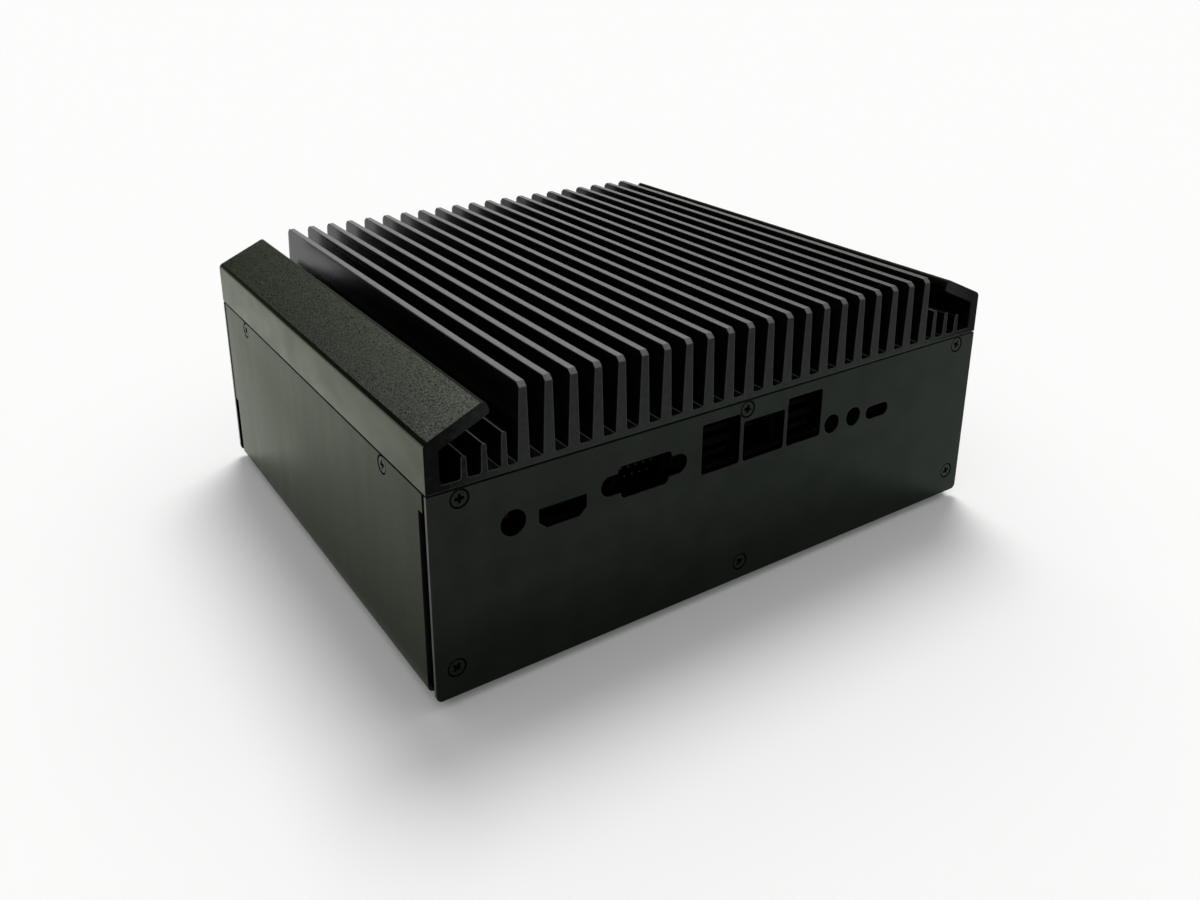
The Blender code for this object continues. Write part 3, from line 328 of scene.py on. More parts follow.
def grain(size, stretch=(1.0, 1.0, 1.0), octaves=2.0):
    """Pattern of grains of about that size, drawn out by the stretch along each axis."""

    def laid(tree):
        place = tree.nodes.new("ShaderNodeTexCoord").outputs["Object"]
        scale = [1.0 / (size * reach) for reach in stretch]
        mapping = wired(tree, tree.nodes.new("ShaderNodeMapping"), {"Vector": place, "Scale": scale})
        sockets = {"Vector": mapping.outputs["Vector"], "Scale": 1.0, "Detail": octaves}
        return wired(tree, tree.nodes.new("ShaderNodeTexNoise"), sockets).outputs["Fac"]

    return laid


def spread(tree, value, source, target):
    """The value carried over from one range to another."""
    ends = dict(zip(("From Min", "From Max", "To Min", "To Max"), (*source, *target)))
    node = wired(tree, tree.nodes.new("ShaderNodeMapRange"), {"Value": value, **ends})
    return node.outputs["Result"]


def finish(name, shades, gloss, relief=None, **sockets):
    """A finish from its patterns and constant sockets, whose names have an underscore for each space.

    shades is a pattern with the dark and the light shade that it runs between, gloss a pattern with the
    least and the most roughness, and relief a pattern with its depth. Satin blacks use a metallic shader
    with a dark base, because its edge tint holds the sheen down at a low angle.
    """
    look = bpy.data.materials.new(name)
    look.use_nodes = True
    tree = look.node_tree
    shader = tree.nodes["Principled BSDF"]
    wired(tree, shader, {socket.replace("_", " "): value for socket, value in sockets.items()})
    if shades:
        pattern, *ends = shades
        wired(tree, shader, {"Base Color": shaded(tree, pattern(tree), NOISE_SPREAD, ends)})
    pattern, *ends = gloss
    wired(tree, shader, {"Roughness": spread(tree, pattern(tree), NOISE_SPREAD, ends)})
    if relief:
        pattern, depth = relief
        bump_sockets = {"Distance": depth, "Height": pattern(tree)}
        raised = wired(tree, tree.nodes.new("ShaderNodeBump"), bump_sockets)
        wired(tree, shader, {"Normal": raised.outputs["Normal"]})
    return look


def from_sides(near, far):
    """Pattern that rises between two distances in from the case's sides, with a little cloud in it."""

    def laid(tree):
        place = tree.nodes.new("ShaderNodeTexCoord").outputs["Object"]
        axes = wired(tree, tree.nodes.new("ShaderNodeSeparateXYZ"), {"Vector": place})
        off_middle = worked_out(tree, "SUBTRACT", axes.outputs["X"], CASE_W / 2)
        off_middle = worked_out(tree, "ABSOLUTE", off_middle)
        rise = spread(tree, off_middle, (CASE_W / 2 - near, CASE_W / 2 - far), MILLED_SPREAD)
        return worked_out(tree, "MULTIPLY_ADD", grain(0.0020, octaves=3.0)(tree), MILLED_CLOUD, rise)

    return laid


def fin(x, top, root_t, tip_t, tip_r):
    """Corners of a tapered fin about x, from its left root over its tip to its right root."""
    rise = [(x - root_t / 2, FIN_FLOOR, FIN_ROOT_R), (x - tip_t / 2, top, tip_r)]
    return rise + [(2 * x - edge, z, radius) for edge, z, radius in reversed(rise)]


def sink_outline(y):
    """Outline of the fins and wings at a station along the extrusion, from lip to lip."""
    slope = Vector((math.cos(WING_SLOPE), math.sin(WING_SLOPE)))
    inward = Vector((slope.y, -slope.x))
    bend = Vector((0.0, WING_BEND_Z))
    tip_x = WING_REACH - WALL_T * slope.y + WING_TIP_R * (slope.x + slope.y - 1)
    tip = bend + slope * tip_x / slope.x
    under_tip = tip + inward * WALL_T
    inner_bend = bend + inward * WALL_T + slope * WALL_T * (1 - slope.y) / slope.x
    left = [
        (0.0, LIP, LIP_R),
        (*bend, WING_BEND_R),
        (*tip, WING_TIP_R),
        (*under_tip, WING_TIP_R),
        (*inner_bend, WING_INNER_R),
        (WALL_T, FIN_FLOOR, WING_INNER_R),
    ]
    low_pitch = (FIN_MARGIN - LOW_FIN_MARGIN) / LOW_FIN_COUNT
    for number in range(LOW_FIN_COUNT):
        x = LOW_FIN_MARGIN + number * low_pitch
        top = FIN_FLOOR + LOW_FIN_H + number * LOW_FIN_STEP
        left += fin(x, top, LOW_FIN_ROOT_T, LOW_FIN_TIP_T, LOW_FIN_TIP_R)
    fins = []
    pitch = (CASE_W - 2 * FIN_MARGIN) / (FIN_COUNT - 1)
    cut = max(0.0, FIN_CHAMFER - min(y, CASE_D - y))
    tip_t = FIN_TIP_T + (FIN_ROOT_T - FIN_TIP_T) * cut / FIN_H
    for number in range(FIN_COUNT):
        fins += fin(FIN_MARGIN + number * pitch, FIN_TOP - cut, FIN_ROOT_T, tip_t, FIN_TIP_R)
    right = [(CASE_W - x, z, radius) for x, z, radius in reversed(left)]
    return rounded(left + fins + right)


def sink_underside(ribbed):
    """Underside from right to left: the lip's step, then the base and its three screw ribs if ribbed."""
    side = SHEET_T + FIT
    rib = side + SIDE_RIB_W
    mid = CASE_W / 2 - MID_RIB_W / 2
    half = [(SEAM_IN_SIDE, LIP), (SEAM_IN_SIDE, LIP - SEAM_SHUT)]
    if ribbed:
        half += [(side, LIP - SEAM_SHUT), (side, RIB_UNDER), (rib, RIB_UNDER), (rib, BASE_UNDER)]
        half += [(mid, BASE_UNDER), (mid, RIB_UNDER)]
    return [(CASE_W - x, z) for x, z in half] + half[::-1]


def underside(shape, near, far, look):
    """Faces between two rows of the underside. The points that only one row has make a wall there."""
    fewer, more = sorted((near, far), key=len)
    half = len(fewer) // 2
    for way in (1, -1):
        one, other = fewer[::way], more[::way]
        for point in range(half - 1):
            strip = (one[point], one[point + 1], other[point + 1], other[point])
            shape.faces.new(strip).material_index = look
    middle = [fewer[half - 1], fewer[-half], more[-half], more[half - 1]]
    wall = more[half:-half]
    if wall:
        shape.faces.new(wall)
        middle[3:3] = (wall[-1], wall[0])
    shape.faces.new(middle).material_index = look


def skin_look(point, normal):
    """The finish at a point of the extrusion's skin, by the part it lies on and the way it faces, which
    gives painted highlights and shade.
    """
    x = min(point.x, CASE_W - point.x)
    if x < WING_BEND_R and abs(normal.x) > math.cos(WALL_LEAN):
        return SMOOTH
    if x < WING_REACH and normal.z > 0 and point.z > WING_BEND_Z - WING_BEND_R:
        outward = normal.x if point.x > CASE_W / 2 else -normal.x
        # Off the slope, the wings' bends and tips take a painted shade
        return BLASTED if abs(math.asin(outward) - WING_SLOPE) < BEND_LEAN else BEND_SHADE
    # Up-facing tops and chamfers of the tall fins take painted highlights
    if normal.z > math.cos(FIN_LEAN) and point.z > FIN_TOP - 2 * FIN_CHAMFER:
        return CHAMFERED if abs(normal.y) > math.cos(FIN_LEAN) else TOPPED
    return DRAWN


die_lines = grain(0.0004, (1.0, 300.0, 1.0))
cutter_lines = grain(0.0005, (40.0, 1.0, 1.0))
top_lines = grain(0.0004, (1.0, 8.0, 1.0))
beads = grain(0.00046, octaves=3.0)
sink_looks = {
    # Between the fins, with faint die lines along its length
    DRAWN: finish(
        "drawn_black_anodise",
        shades=(grain(0.004, (1.0, 12.0, 1.0)), (0.0012, 0.0015, 0.0012), (0.0026, 0.0030, 0.0026)),
        gloss=(die_lines, 0.20, 0.28),
        relief=(die_lines, 0.000004),
        IOR=1.30,
    ),
    # Bead-blasted top of the wings, which sparkles finely at a low angle
    BLASTED: finish(
        "blasted_black_anodise",
        shades=(beads, (0.0060, 0.0066, 0.0054), (0.1240, 0.1298, 0.1144)),
        gloss=(grain(0.006), 0.36, 0.42),
        relief=(beads, 0.00012),
        Metallic=1.0,
        Specular_Tint=(0.34, 0.36, 0.31, 1.0),
    ),
    # Milled ends, dull under their dye, with fine cutter lines, and darkest on the wings
    MILLED: finish(
        "milled_black_end",
        shades=(from_sides(WALL_T, FIN_MARGIN), (0.0012, 0.0017, 0.0014), (0.0300, 0.0334, 0.0322)),
        gloss=(cutter_lines, 0.46, 0.56),
        relief=(cutter_lines, 0.000005),
        IOR=1.12,
    ),
    # Broken edges, a little worn by handling and painted paler as a highlight along them
    EDGE_WEAR_AND_HIGHLIGHT: finish(
        "black_edge_wear_and_highlight",
        shades=(grain(0.0030), (0.0110, 0.0124, 0.0112), (0.0230, 0.0250, 0.0230)),
        gloss=(grain(0.0010), 0.30, 0.42),
        IOR=1.32,
    ),
    # Outer walls of the wings, drawn smooth and a little cloudy
    SMOOTH: finish(
        "smooth_black_anodise",
        shades=(grain(0.0012), (0.0390, 0.0406, 0.0332), (0.0505, 0.0528, 0.0436)),
        gloss=(grain(0.0090, (1.0, 2.0, 1.0)), 0.30, 0.38),
        relief=(grain(0.0010), 0.000006),
        Metallic=1.0,
        Specular_Tint=(0.96, 1.0, 0.90, 1.0),
    ),
    # Tops of the tall fins, painted greyer than their sides as a highlight where the light falls on them
    # from above
    TOPPED: finish(
        "fin_top_painted_highlight",
        shades=(
            grain(0.0009, (1.0, 1.8, 1.0), octaves=3.0),
            (0.0170, 0.0184, 0.0172),
            (0.0410, 0.0428, 0.0408),
        ),
        gloss=(top_lines, 0.32, 0.44),
        relief=(top_lines, 0.000006),
        IOR=1.50,
    ),
    # Bends of the wings, smooth, and painted the darkest of all as shade where they turn away from the
    # light
    BEND_SHADE: finish(
        "wing_bend_painted_shade",
        shades=(grain(0.0020), (0.0035, 0.0042, 0.0032), (0.0070, 0.0080, 0.0064)),
        gloss=(grain(0.0060), 0.28, 0.36),
        Metallic=1.0,
        Specular_Tint=(0.60, 0.62, 0.56, 1.0),
    ),
    # Chamfers across the ends of the tall fins, painted bright as a highlight where they face up and
    # forward, with a fine grain
    CHAMFERED: finish(
        "fin_chamfer_painted_highlight",
        shades=(grain(0.0007, octaves=3.0), (0.0520, 0.0552, 0.0515), (0.1040, 0.1080, 0.1025)),
        gloss=(grain(0.0010), 0.34, 0.46),
        IOR=1.50,
    ),
}

sink = bmesh.new()
edge_steps = broken_edge(SINK_EDGE)
stations = [(down, into) for into, down in edge_steps]
stations += [(SEAM_IN_END, 0.0), (FIN_CHAMFER, 0.0), (END_STEP, 0.0)]
stations += [(CASE_D - y, into) for y, into in reversed(stations)]
uppers = [loop(sink, drawn_in(sink_outline(y), into), y) for y, into in stations]
unders = []
for upper, (y, _) in zip(uppers, stations):
    from_end = min(y, CASE_D - y)
    under = []
    if from_end > SINK_EDGE + WELD:
        under = loop(sink, sink_underside(from_end > END_STEP - WELD), y)
    unders.append([upper[-1], *under, upper[0]])
past_wing = [vert.co.x > WALL_T and vert.co.z < FIN_FLOOR for vert in uppers[0]]
wing_end = past_wing.index(True)
for index, (near, far) in enumerate(zip(uppers, uppers[1:])):
    on_edge_row = min(index, len(stations) - 2 - index) < len(edge_steps) - 1
    for point in range(len(near) - 1):
        skin = sink.faces.new((near[point], near[point + 1], far[point + 1], far[point]))
        skin.normal_update()
        skin.material_index = skin_look(skin.calc_center_median(), skin.normal)
        # Broken edges are painted paler as a highlight, save on the wings, which keep the milled end's
        # finish
        if on_edge_row and skin.material_index != CHAMFERED:
            on_wing = min(point, len(near) - 2 - point) < wing_end
            skin.material_index = MILLED if on_wing else EDGE_WEAR_AND_HIGHLIGHT
    underside(sink, unders[index], unders[index + 1], EDGE_WEAR_AND_HIGHLIGHT if on_edge_row else DRAWN)
for end in (uppers[0], uppers[-1]):
    sink.faces.new(end).material_index = MILLED
heatsink = made_piece("heatsink_lid", sink, sink_looks.values())
# Chamfers keep a crisp line to every face beside them
beside = {}
for skin in heatsink.data.polygons:
    for key in skin.edge_keys:
        beside.setdefault(key, set()).add(skin.material_index == CHAMFERED)
for edge in heatsink.data.edges:
    if len(beside[edge.key]) == 2:
        edge.use_edge_sharp = True
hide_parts("heatsink_top")


# Base tray: one folded steel sheet, floor and two sides, sprayed satin black. Joggled flanges and tabs
# at both ends take the panels' screws, with a recessed reveal between a flange and the panel whose fold
# is laid in painted shade, and each side is countersunk for the screws into the lid.
CASE_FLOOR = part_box("base_tray")[0].z
SEAM_DROP = 0.00015
BEND_R = 0.0020
FLANGE_W = 0.0120
FLANGE_TOP = RIB_UNDER - FIT
FLANGE_LOW = CASE_FLOOR + 0.0060
BACK_FLANGE_TOP = CASE_FLOOR + 0.0240
REVEAL = 0.0055
SIDE_END = 0.0028
FLANGE_BEND_R = 0.0014
JOGGLE_R = 0.0005
JOGGLE_IN = 0.0006
TAB_W = 0.0160
TAB_H = 0.0100
TAB_RELIEF = 0.0015
SHEET_EDGE = 0.00018
SHEET_EDGE_STEPS = 2
EDGE_LIMIT = math.radians(40)
BEND_STEPS = 6
CUT_PAST = 0.001
CUT_DEEP = 0.01
SCREW_HEAD_R = 0.0025
SCREW_R = 0.0015
SCREW_SINK = 0.00012
SCREW_PLAY = 0.00045
ROUND_STEPS = 48
FACING = {
    "front": Matrix.Rotation(math.pi / 2, 4, "X"),
    "back": Matrix.Rotation(-math.pi / 2, 4, "X"),
    "left": Matrix.Rotation(-math.pi / 2, 4, "Y"),
    "right": Matrix.Rotation(math.pi / 2, 4, "Y"),
}
SPRAYED, SHADE_COAT = range(2)


def carry(shape, edge, offsets, look=SPRAYED):
    """Carries the sheet on from an edge through a row of offsets from it."""
    starts = [vert.co.copy() for vert in edge]
    for offset in offsets:
        fresh = [shape.verts.new(start + offset) for start in starts]
        shape.faces.new((edge[0], edge[1], fresh[1], fresh[0])).material_index = look
        edge = fresh


def folds(out, into, steps):
    """Offsets along a folded sheet. Each step is a bend's radius and its flat, in and out in turn."""
    offsets = []
    start = Vector()
    for radius, flat in steps:
        for step in range(BEND_STEPS):
            bend = math.pi / 2 * (step + 1) / BEND_STEPS
            offsets.append(start + radius * (out * math.sin(bend) + into * (1 - math.cos(bend))))
        start = offsets[-1] + into * flat
        offsets.append(start)
        out, into = into, out
    return offsets


def turned(shape, profile, steps=ROUND_STEPS, turn=None):
    """A turned form about z. Its profile is a row of (radius, z) points from the axis to the axis."""
    older = set(shape.verts)
    points = [shape.verts.new((radius, 0.0, z)) for radius, z in profile]
    edges = [shape.edges.new(pair) for pair in zip(points, points[1:])]
    bmesh.ops.spin(shape, geom=points + edges, axis=(0.0, 0.0, 1.0), angle=2 * math.pi, steps=steps)
    if turn:
        fresh = [vert for vert in shape.verts if vert not in older]
        bmesh.ops.transform(shape, matrix=turn, verts=fresh)


def screw_pocket():
    """Profile of the countersink that takes a screw, past the face that it is cut into."""
    head_r = SCREW_HEAD_R + SCREW_PLAY
    neck_r = SCREW_R + SCREW_PLAY
    cone_end = -SCREW_SINK - (SCREW_HEAD_R - SCREW_R)
    head = [(0.0, CUT_PAST), (head_r, CUT_PAST), (head_r, -SCREW_SINK)]
    return head + [(neck_r, cone_end), (neck_r, -CUT_DEEP), (0.0, -CUT_DEEP)]


def middle_of(node):
    """Centre of a node's box, in case coordinates."""
    low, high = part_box(node)
    return (low + high) / 2 - CASE_CORNER


def seats(*facings):
    """Seats of the screws whose heads face these ways, each with its facing."""
    return [(seat, facing) for seat, facing in screw_seats.values() if facing in facings]


screw_seats = {}
for number in range(1, 7):
    for panel, face_y, facing in (("io_panel", 0.0, "front"), ("button_panel", CASE_D, "back")):
        at = middle_of(f"{panel}_screw_{number}")
        screw_seats[f"{panel}_screw_{number}"] = (Vector((at.x, face_y, at.z)), facing)
for number in range(1, 5):
    at = middle_of(f"side_screw_{number}")
    face_x, facing = (0.0, "left") if at.x < CASE_W / 2 else (CASE_W, "right")
    screw_seats[f"side_screw_{number}"] = (Vector((face_x, at.y, at.z)), facing)

# Satin black spray, faintly streaked down the sides as it ran off
satin_sheet = finish(
    "satin_black_sheet",
    shades=(grain(0.0025), (0.0135, 0.0150, 0.0124), (0.0175, 0.0192, 0.0160)),
    gloss=(grain(0.0080, (1.0, 1.0, 9.0), octaves=3.0), 0.265, 0.310),
    relief=(grain(0.0012), 0.000003),
    Metallic=1.0,
    Specular_Tint=(0.795, 0.825, 0.745, 1.0),
)
# Near-black dull coat laid as painted shade in the folds, the countersinks and round the screw heads
painted_shade_coat = finish(
    "painted_shade_black_coat",
    shades=(grain(0.0020), (0.0008, 0.0011, 0.0008), (0.0020, 0.0025, 0.0019)),
    gloss=(grain(0.0010), 0.48, 0.60),
    IOR=1.06,
)
tray_looks = [satin_sheet, painted_shade_coat]

tab_end = CASE_W / 2 - TAB_W / 2
left_half = [(0.0, z) for z in (PANEL_TOP - SEAM_DROP, FLANGE_TOP, BACK_FLANGE_TOP, FLANGE_LOW)]
for step in range(BEND_STEPS + 1):
    bend = math.pi / 2 * step / BEND_STEPS
    left_half.append((BEND_R * (1 - math.cos(bend)), CASE_FLOOR + BEND_R * (1 - math.sin(bend))))
left_half += [(tab_end - TAB_RELIEF, CASE_FLOOR), (tab_end, CASE_FLOOR)]
tray_section = left_half + [(CASE_W - x, z) for x, z in reversed(left_half)]
tray = bmesh.new()
tray_rows = [loop(tray, tray_section, y) for y in (REVEAL, CASE_D - REVEAL)]
near, far = tray_rows
for point in range(len(tray_section) - 1):
    tray.faces.new((near[point], near[point + 1], far[point + 1], far[point]))
x_axis, y_axis, z_axis = Matrix.Identity(3)
count = len(left_half)
forward = REVEAL - END_STEP
flange_flat = FLANGE_W - 2 * FLANGE_BEND_R - JOGGLE_IN - JOGGLE_R
flange_steps = [
    (FLANGE_BEND_R, JOGGLE_IN),
    (JOGGLE_R, forward - 2 * FLANGE_BEND_R - JOGGLE_R),
    (FLANGE_BEND_R, flange_flat),
]
# Each end's row of the tray, the way out of it, and the level of the section where its flanges start
for row, out, flange_from in zip(tray_rows, (-y_axis, y_axis), (1, 2)):
    for side, into in ((row, x_axis), (row[::-1], -x_axis)):
        for level in range(3):
            edge = side[level : level + 2]
            if level < flange_from:
                carry(tray, edge, [out * (REVEAL - SIDE_END)])
            else:
                # Flanges past the reveal are laid in the near-black coat, as painted shade in the fold
                carry(tray, edge, folds(out, into, flange_steps), SHADE_COAT)
        carry(tray, side[count - 3 : count - 1], [out * forward])
    lead = out * (forward - BEND_R)
    tab_folds = folds(out, z_axis, [(BEND_R, TAB_H - BEND_R)])
    carry(tray, row[count - 1 : count + 1], [lead] + [lead + offset for offset in tab_folds])
tray_piece = made_piece("base_tray_sheet", tray, tray_looks)

pockets = bmesh.new()
for seat, facing in seats("left", "right"):
    turned(pockets, screw_pocket(), turn=Matrix.Translation(seat) @ FACING[facing])
# The countersinks' walls take the same painted shade
for pocket_wall in pockets.faces:
    pocket_wall.material_index = SHADE_COAT
pocket_tool = made_piece("side_screw_pockets", pockets, tray_looks)
thickness = tray_piece.modifiers.new("sheet", "SOLIDIFY")
thickness.thickness = SHEET_T
thickness.offset = -1.0
thickness.use_even_offset = True
break_edges = tray_piece.modifiers.new("broken_edges", "BEVEL")
break_edges.width = SHEET_EDGE
break_edges.segments = SHEET_EDGE_STEPS
break_edges.limit_method = "ANGLE"
break_edges.angle_limit = EDGE_LIMIT
break_edges.use_clamp_overlap = True
countersink = tray_piece.modifiers.new("countersinks", "BOOLEAN")
countersink.operation = "DIFFERENCE"
countersink.solver = "EXACT"
countersink.object = pocket_tool
tray_shaped = tray_piece.evaluated_get(bpy.context.evaluated_depsgraph_get())
tray_piece.data = bpy.data.meshes.new_from_object(tray_shaped)
for vert in tray_piece.data.vertices:
    vert.co.x = min(max(vert.co.x, 0.0), CASE_W)
tray_piece.data.shade_smooth()
tray_piece.data.set_sharp_from_angle(angle=SHARP)
tray_piece.modifiers.clear()
bpy.data.objects.remove(pocket_tool)
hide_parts("base_tray")


# Port panel: a flat steel plate, sprayed satin black, cut out for every port and countersunk for its six
# screws. Its cut edges are broken, and its lower corners follow the tray's bends.
PANEL_DROP = 0.00005
PANEL_HEAD_R = 0.0003
PANEL_FOOT_R = 0.0020
PANEL_EDGE = 0.00022
NECK_DEPTH = 0.0014
HOLE_STEPS = 40
CUTOUT_R = 0.0009
TIP_FLAT = 0.0002
VIDEO_CHAMFER_W = 0.0025
VIDEO_CHAMFER_H = 0.0021
VIDEO_CUT_R = 0.0003
SERIAL_TOP_W = 0.0201
SERIAL_LOW_W = 0.0170
SERIAL_CUT_R = 0.0015
SERIAL_EAR_H = 0.0064
SERIAL_EAR_R = 0.0003
# Port, width and height of its cut-out, and how far that stands past the port's own top
CUTOUTS = (
    ("dc_jack", 0.0080, 0.0080, -0.0008),
    ("hdmi_port", 0.0159, 0.0064, 0.0004),
    ("serial_port", 0.0316, 0.0105, 0.0004),
    ("usb_stack_left", 0.0153, 0.0169, 0.0004),
    ("lan_jack", 0.0174, 0.0137, 0.0004),
    ("usb_stack_right", 0.0153, 0.0169, 0.0004),
    ("audio_jack_left", 0.0067, 0.0067, 0.0003),
    ("audio_jack_right", 0.0067, 0.0067, 0.0003),
    ("usb_c_port", 0.0109, 0.0048, 0.0009),
)
FACE, RIM, SUNK, EDGE = range(4)


def about(centre, corners):
    """Rounded outline of (u, v, radius) corners about a centre."""
    return rounded([(centre[0] + u, centre[1] + v, radius) for u, v, radius in corners])


def rectangle(width, height, centre=(0.0, 0.0), radius=0.0):
    """Outline of a rectangle about its centre, with round corners if asked."""
    signs = ((-1, -1), (1, -1), (1, 1), (-1, 1))
    return about(centre, [(su * width / 2, sv * height / 2, radius) for su, sv in signs])


def circle(radius, centre=(0.0, 0.0), steps=HOLE_STEPS):
    """Outline of a circle."""
    turns = [2 * math.pi * step / steps for step in range(steps)]
    return [(centre[0] + radius * math.cos(turn), centre[1] + radius * math.sin(turn)) for turn in turns]


def oval(width, height, centre):
    """Outline of a slot with round ends."""
    return rectangle(width, height, centre, height / 2 - TIP_FLAT / 2)


def video_outline(width, height, centre, radius):
    """A flat display port's outline, with both lower corners cut off."""
    half_w = width / 2
    half_h = height / 2
    right = [(half_w - VIDEO_CHAMFER_W, -half_h), (half_w, VIDEO_CHAMFER_H - half_h), (half_w, half_h)]
    corners = right + [(-u, v) for u, v in reversed(right)]
    return about(centre, [(u, v, radius) for u, v in corners])


def serial_cutout(width, height, centre):
    """A serial port's cut-out: its D, with a round-ended ear on each side for the jack screw."""
    ear = SERIAL_EAR_H / 2
    lean = (SERIAL_TOP_W - SERIAL_LOW_W) / 2 / height
    middle = (SERIAL_TOP_W + SERIAL_LOW_W) / 4
    ear_r = ear - TIP_FLAT / 2
    right = [
        (SERIAL_LOW_W / 2, -height / 2, SERIAL_CUT_R),
        (middle - lean * ear, -ear, SERIAL_EAR_R),
        (width / 2, -ear, ear_r),
        (width / 2, ear, ear_r),
        (middle + lean * ear, ear, SERIAL_EAR_R),
        (SERIAL_TOP_W / 2, height / 2, SERIAL_CUT_R),
    ]
    return about(centre, right + [(-u, v, radius) for u, v, radius in reversed(right)])


def cutout_centre(port, height, past):
    """Where the middle of a port's cut-out lies on the panel."""
    return (middle_of(port).x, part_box(port)[1].z + past - height / 2)


def port_cutout(port, width, height, past):
    """The cut-out that a port has in the panel."""
    centre = cutout_centre(port, height, past)
    if port == "hdmi_port":
        return video_outline(width, height, centre, VIDEO_CUT_R)
    if port == "serial_port":
        return serial_cutout(width, height, centre)
    if port == "usb_c_port":
        return oval(width, height, centre)
    if width == height:
        return circle(width / 2, centre)
    return rectangle(width, height, centre, CUTOUT_R)


def walls(shape, near, far, look):
    """Quads between two loops of as many points, all the way round."""
    for index in range(len(near)):
        wall = shape.faces.new((near[index - 1], near[index], far[index], far[index - 1]))
        wall.material_index = look


def fill(shape, loops, look):
    """A flat face over the first loop, with the others as holes in it."""
    if len(loops) == 1:
        flats = [shape.faces.new(loops[0])]
    else:
        pairs = [(ring[index - 1], ring[index]) for ring in loops for index in range(len(ring))]
        edges = [shape.edges.get(pair) for pair in pairs]
        filled = bmesh.ops.triangle_fill(shape, use_beauty=True, use_dissolve=False, edges=edges)
        flats = [part for part in filled["geom"] if isinstance(part, bmesh.types.BMFace)]
    for flat in flats:
        flat.material_index = look


def drilled(shape, shell, holes=(), along="y", look=0):
    """A solid from its first loop to its last, with holes. A loop is an outline, a level and a look."""
    rows = []
    for outlines in (shell, *holes):
        loops = [loop(shape, outline, level, along) for outline, level, _ in outlines]
        for near, far, step in zip(loops, loops[1:], outlines[1:]):
            walls(shape, near, far, step[2])
        rows.append(loops)
    back = shell[-1][1]
    through = [loops[-1] for loops, outlines in zip(rows, (shell, *holes)) if outlines[-1][1] == back]
    fill(shape, [loops[0] for loops in rows], look)
    fill(shape, through, look)
    for loops, outlines in zip(rows[1:], holes):
        if outlines[-1][1] != back:
            fill(shape, loops[-1:], look)


def plate_rows(outline, front, back, outward=1):
    """Loops of a plate's rim, or of a hole with outward -1, with both its edges broken."""
    way = 1 if back > front else -1
    steps = [(drawn_in(outline, outward * into), way * down) for into, down in broken_edge(PANEL_EDGE)]
    near = [(points, front + down, RIM) for points, down in steps]
    far = [(points, back - down, RIM) for points, down in reversed(steps)]
    far[0] = (*far[0][:2], EDGE if outward > 0 else FACE)
    return near + far


def countersink_rows(seat, front, back):
    """Loops of a screw's countersink through a panel, with its sunk walls in the near-black coat as
    painted shade.
    """
    way = 1 if back > front else -1
    centre = (seat.x, seat.z)
    head_r = SCREW_HEAD_R + SCREW_PLAY
    neck_r = SCREW_R + SCREW_PLAY
    levels = [(head_r, 0.0, FACE), (head_r, SCREW_SINK, SUNK), (neck_r, NECK_DEPTH, SUNK)]
    rows = [(circle(radius, centre), front + way * down, look) for radius, down, look in levels]
    return rows + [(circle(neck_r, centre), back, FACE)]


def cut_panel(name, front, back, cutouts, facing):
    """A panel between two levels of y, with its cut-outs and a countersink for each of its screws."""
    outline = rounded([
        (0.0, PANEL_TOP - PANEL_DROP, PANEL_HEAD_R),
        (0.0, CASE_FLOOR, PANEL_FOOT_R),
        (CASE_W, CASE_FLOOR, PANEL_FOOT_R),
        (CASE_W, PANEL_TOP - PANEL_DROP, PANEL_HEAD_R),
    ])
    holes = [plate_rows(cutout, front, back, -1) for cutout in cutouts]
    holes += [countersink_rows(seat, front, back) for seat, _ in seats(facing)]
    shape = bmesh.new()
    drilled(shape, plate_rows(outline, front, back), holes)
    return made_piece(name, shape, panel_looks)


# Satin black spray on the flat panels, a little cloudy, with the finest orange peel
satin_panel = finish(
    "satin_black_panel",
    shades=(grain(0.0120, octaves=3.0), (0.0124, 0.0150, 0.0122), (0.0168, 0.0198, 0.0166)),
    gloss=(grain(0.0180, octaves=4.0), 0.19, 0.26),
    relief=(grain(0.0012), 0.000003),
    Metallic=1.0,
    Specular_Tint=(0.76, 0.83, 0.79, 1.0),
)
# Sprayed edges of the panels and of their holes, where the coat is thinner, painted a little lighter
# than the face as a faint highlight
panel_rim = finish(
    "panel_rim",
    shades=(grain(0.0040), (0.0120, 0.0135, 0.0118), (0.0230, 0.0250, 0.0225)),
    gloss=(grain(0.0010), 0.28, 0.38),
    Metallic=1.0,
    Specular_Tint=(0.97, 1.0, 0.94, 1.0),
)
# Cut edge of the panels, painted bright as a highlight where the light catches it
panel_edge = finish(
    "painted_highlight_panel_edge",
    shades=(grain(0.0060), (0.0450, 0.0465, 0.0430), (0.0700, 0.0715, 0.0680)),
    gloss=(grain(0.0010), 0.28, 0.38),
    Metallic=1.0,
)
panel_looks = [satin_panel, panel_rim, painted_shade_coat, panel_edge]
port_cutouts = [port_cutout(*cutout) for cutout in CUTOUTS]
port_panel_piece = cut_panel("port_panel", 0.0, PANEL_T, port_cutouts, "front")
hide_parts("io_panel")


# Button panel: the same plate at the other end, drilled for the power button and for two light pipes.
# It is sprayed and screwed on as the port panel is.
BUTTON_HOLE_R = 0.0063
PIPE_HOLE_R = 0.0018

button_at = middle_of("power_button_cap")
pipes_at = [middle_of(f"light_pipe_{number}") for number in (1, 2)]
button_holes = [circle(BUTTON_HOLE_R, (button_at.x, button_at.z))]
button_holes += [circle(PIPE_HOLE_R, (pipe_at.x, pipe_at.z)) for pipe_at in pipes_at]
button_panel_piece = cut_panel("button_panel_plate", CASE_D, CASE_D - PANEL_T, button_holes, "back")
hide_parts("button_panel")


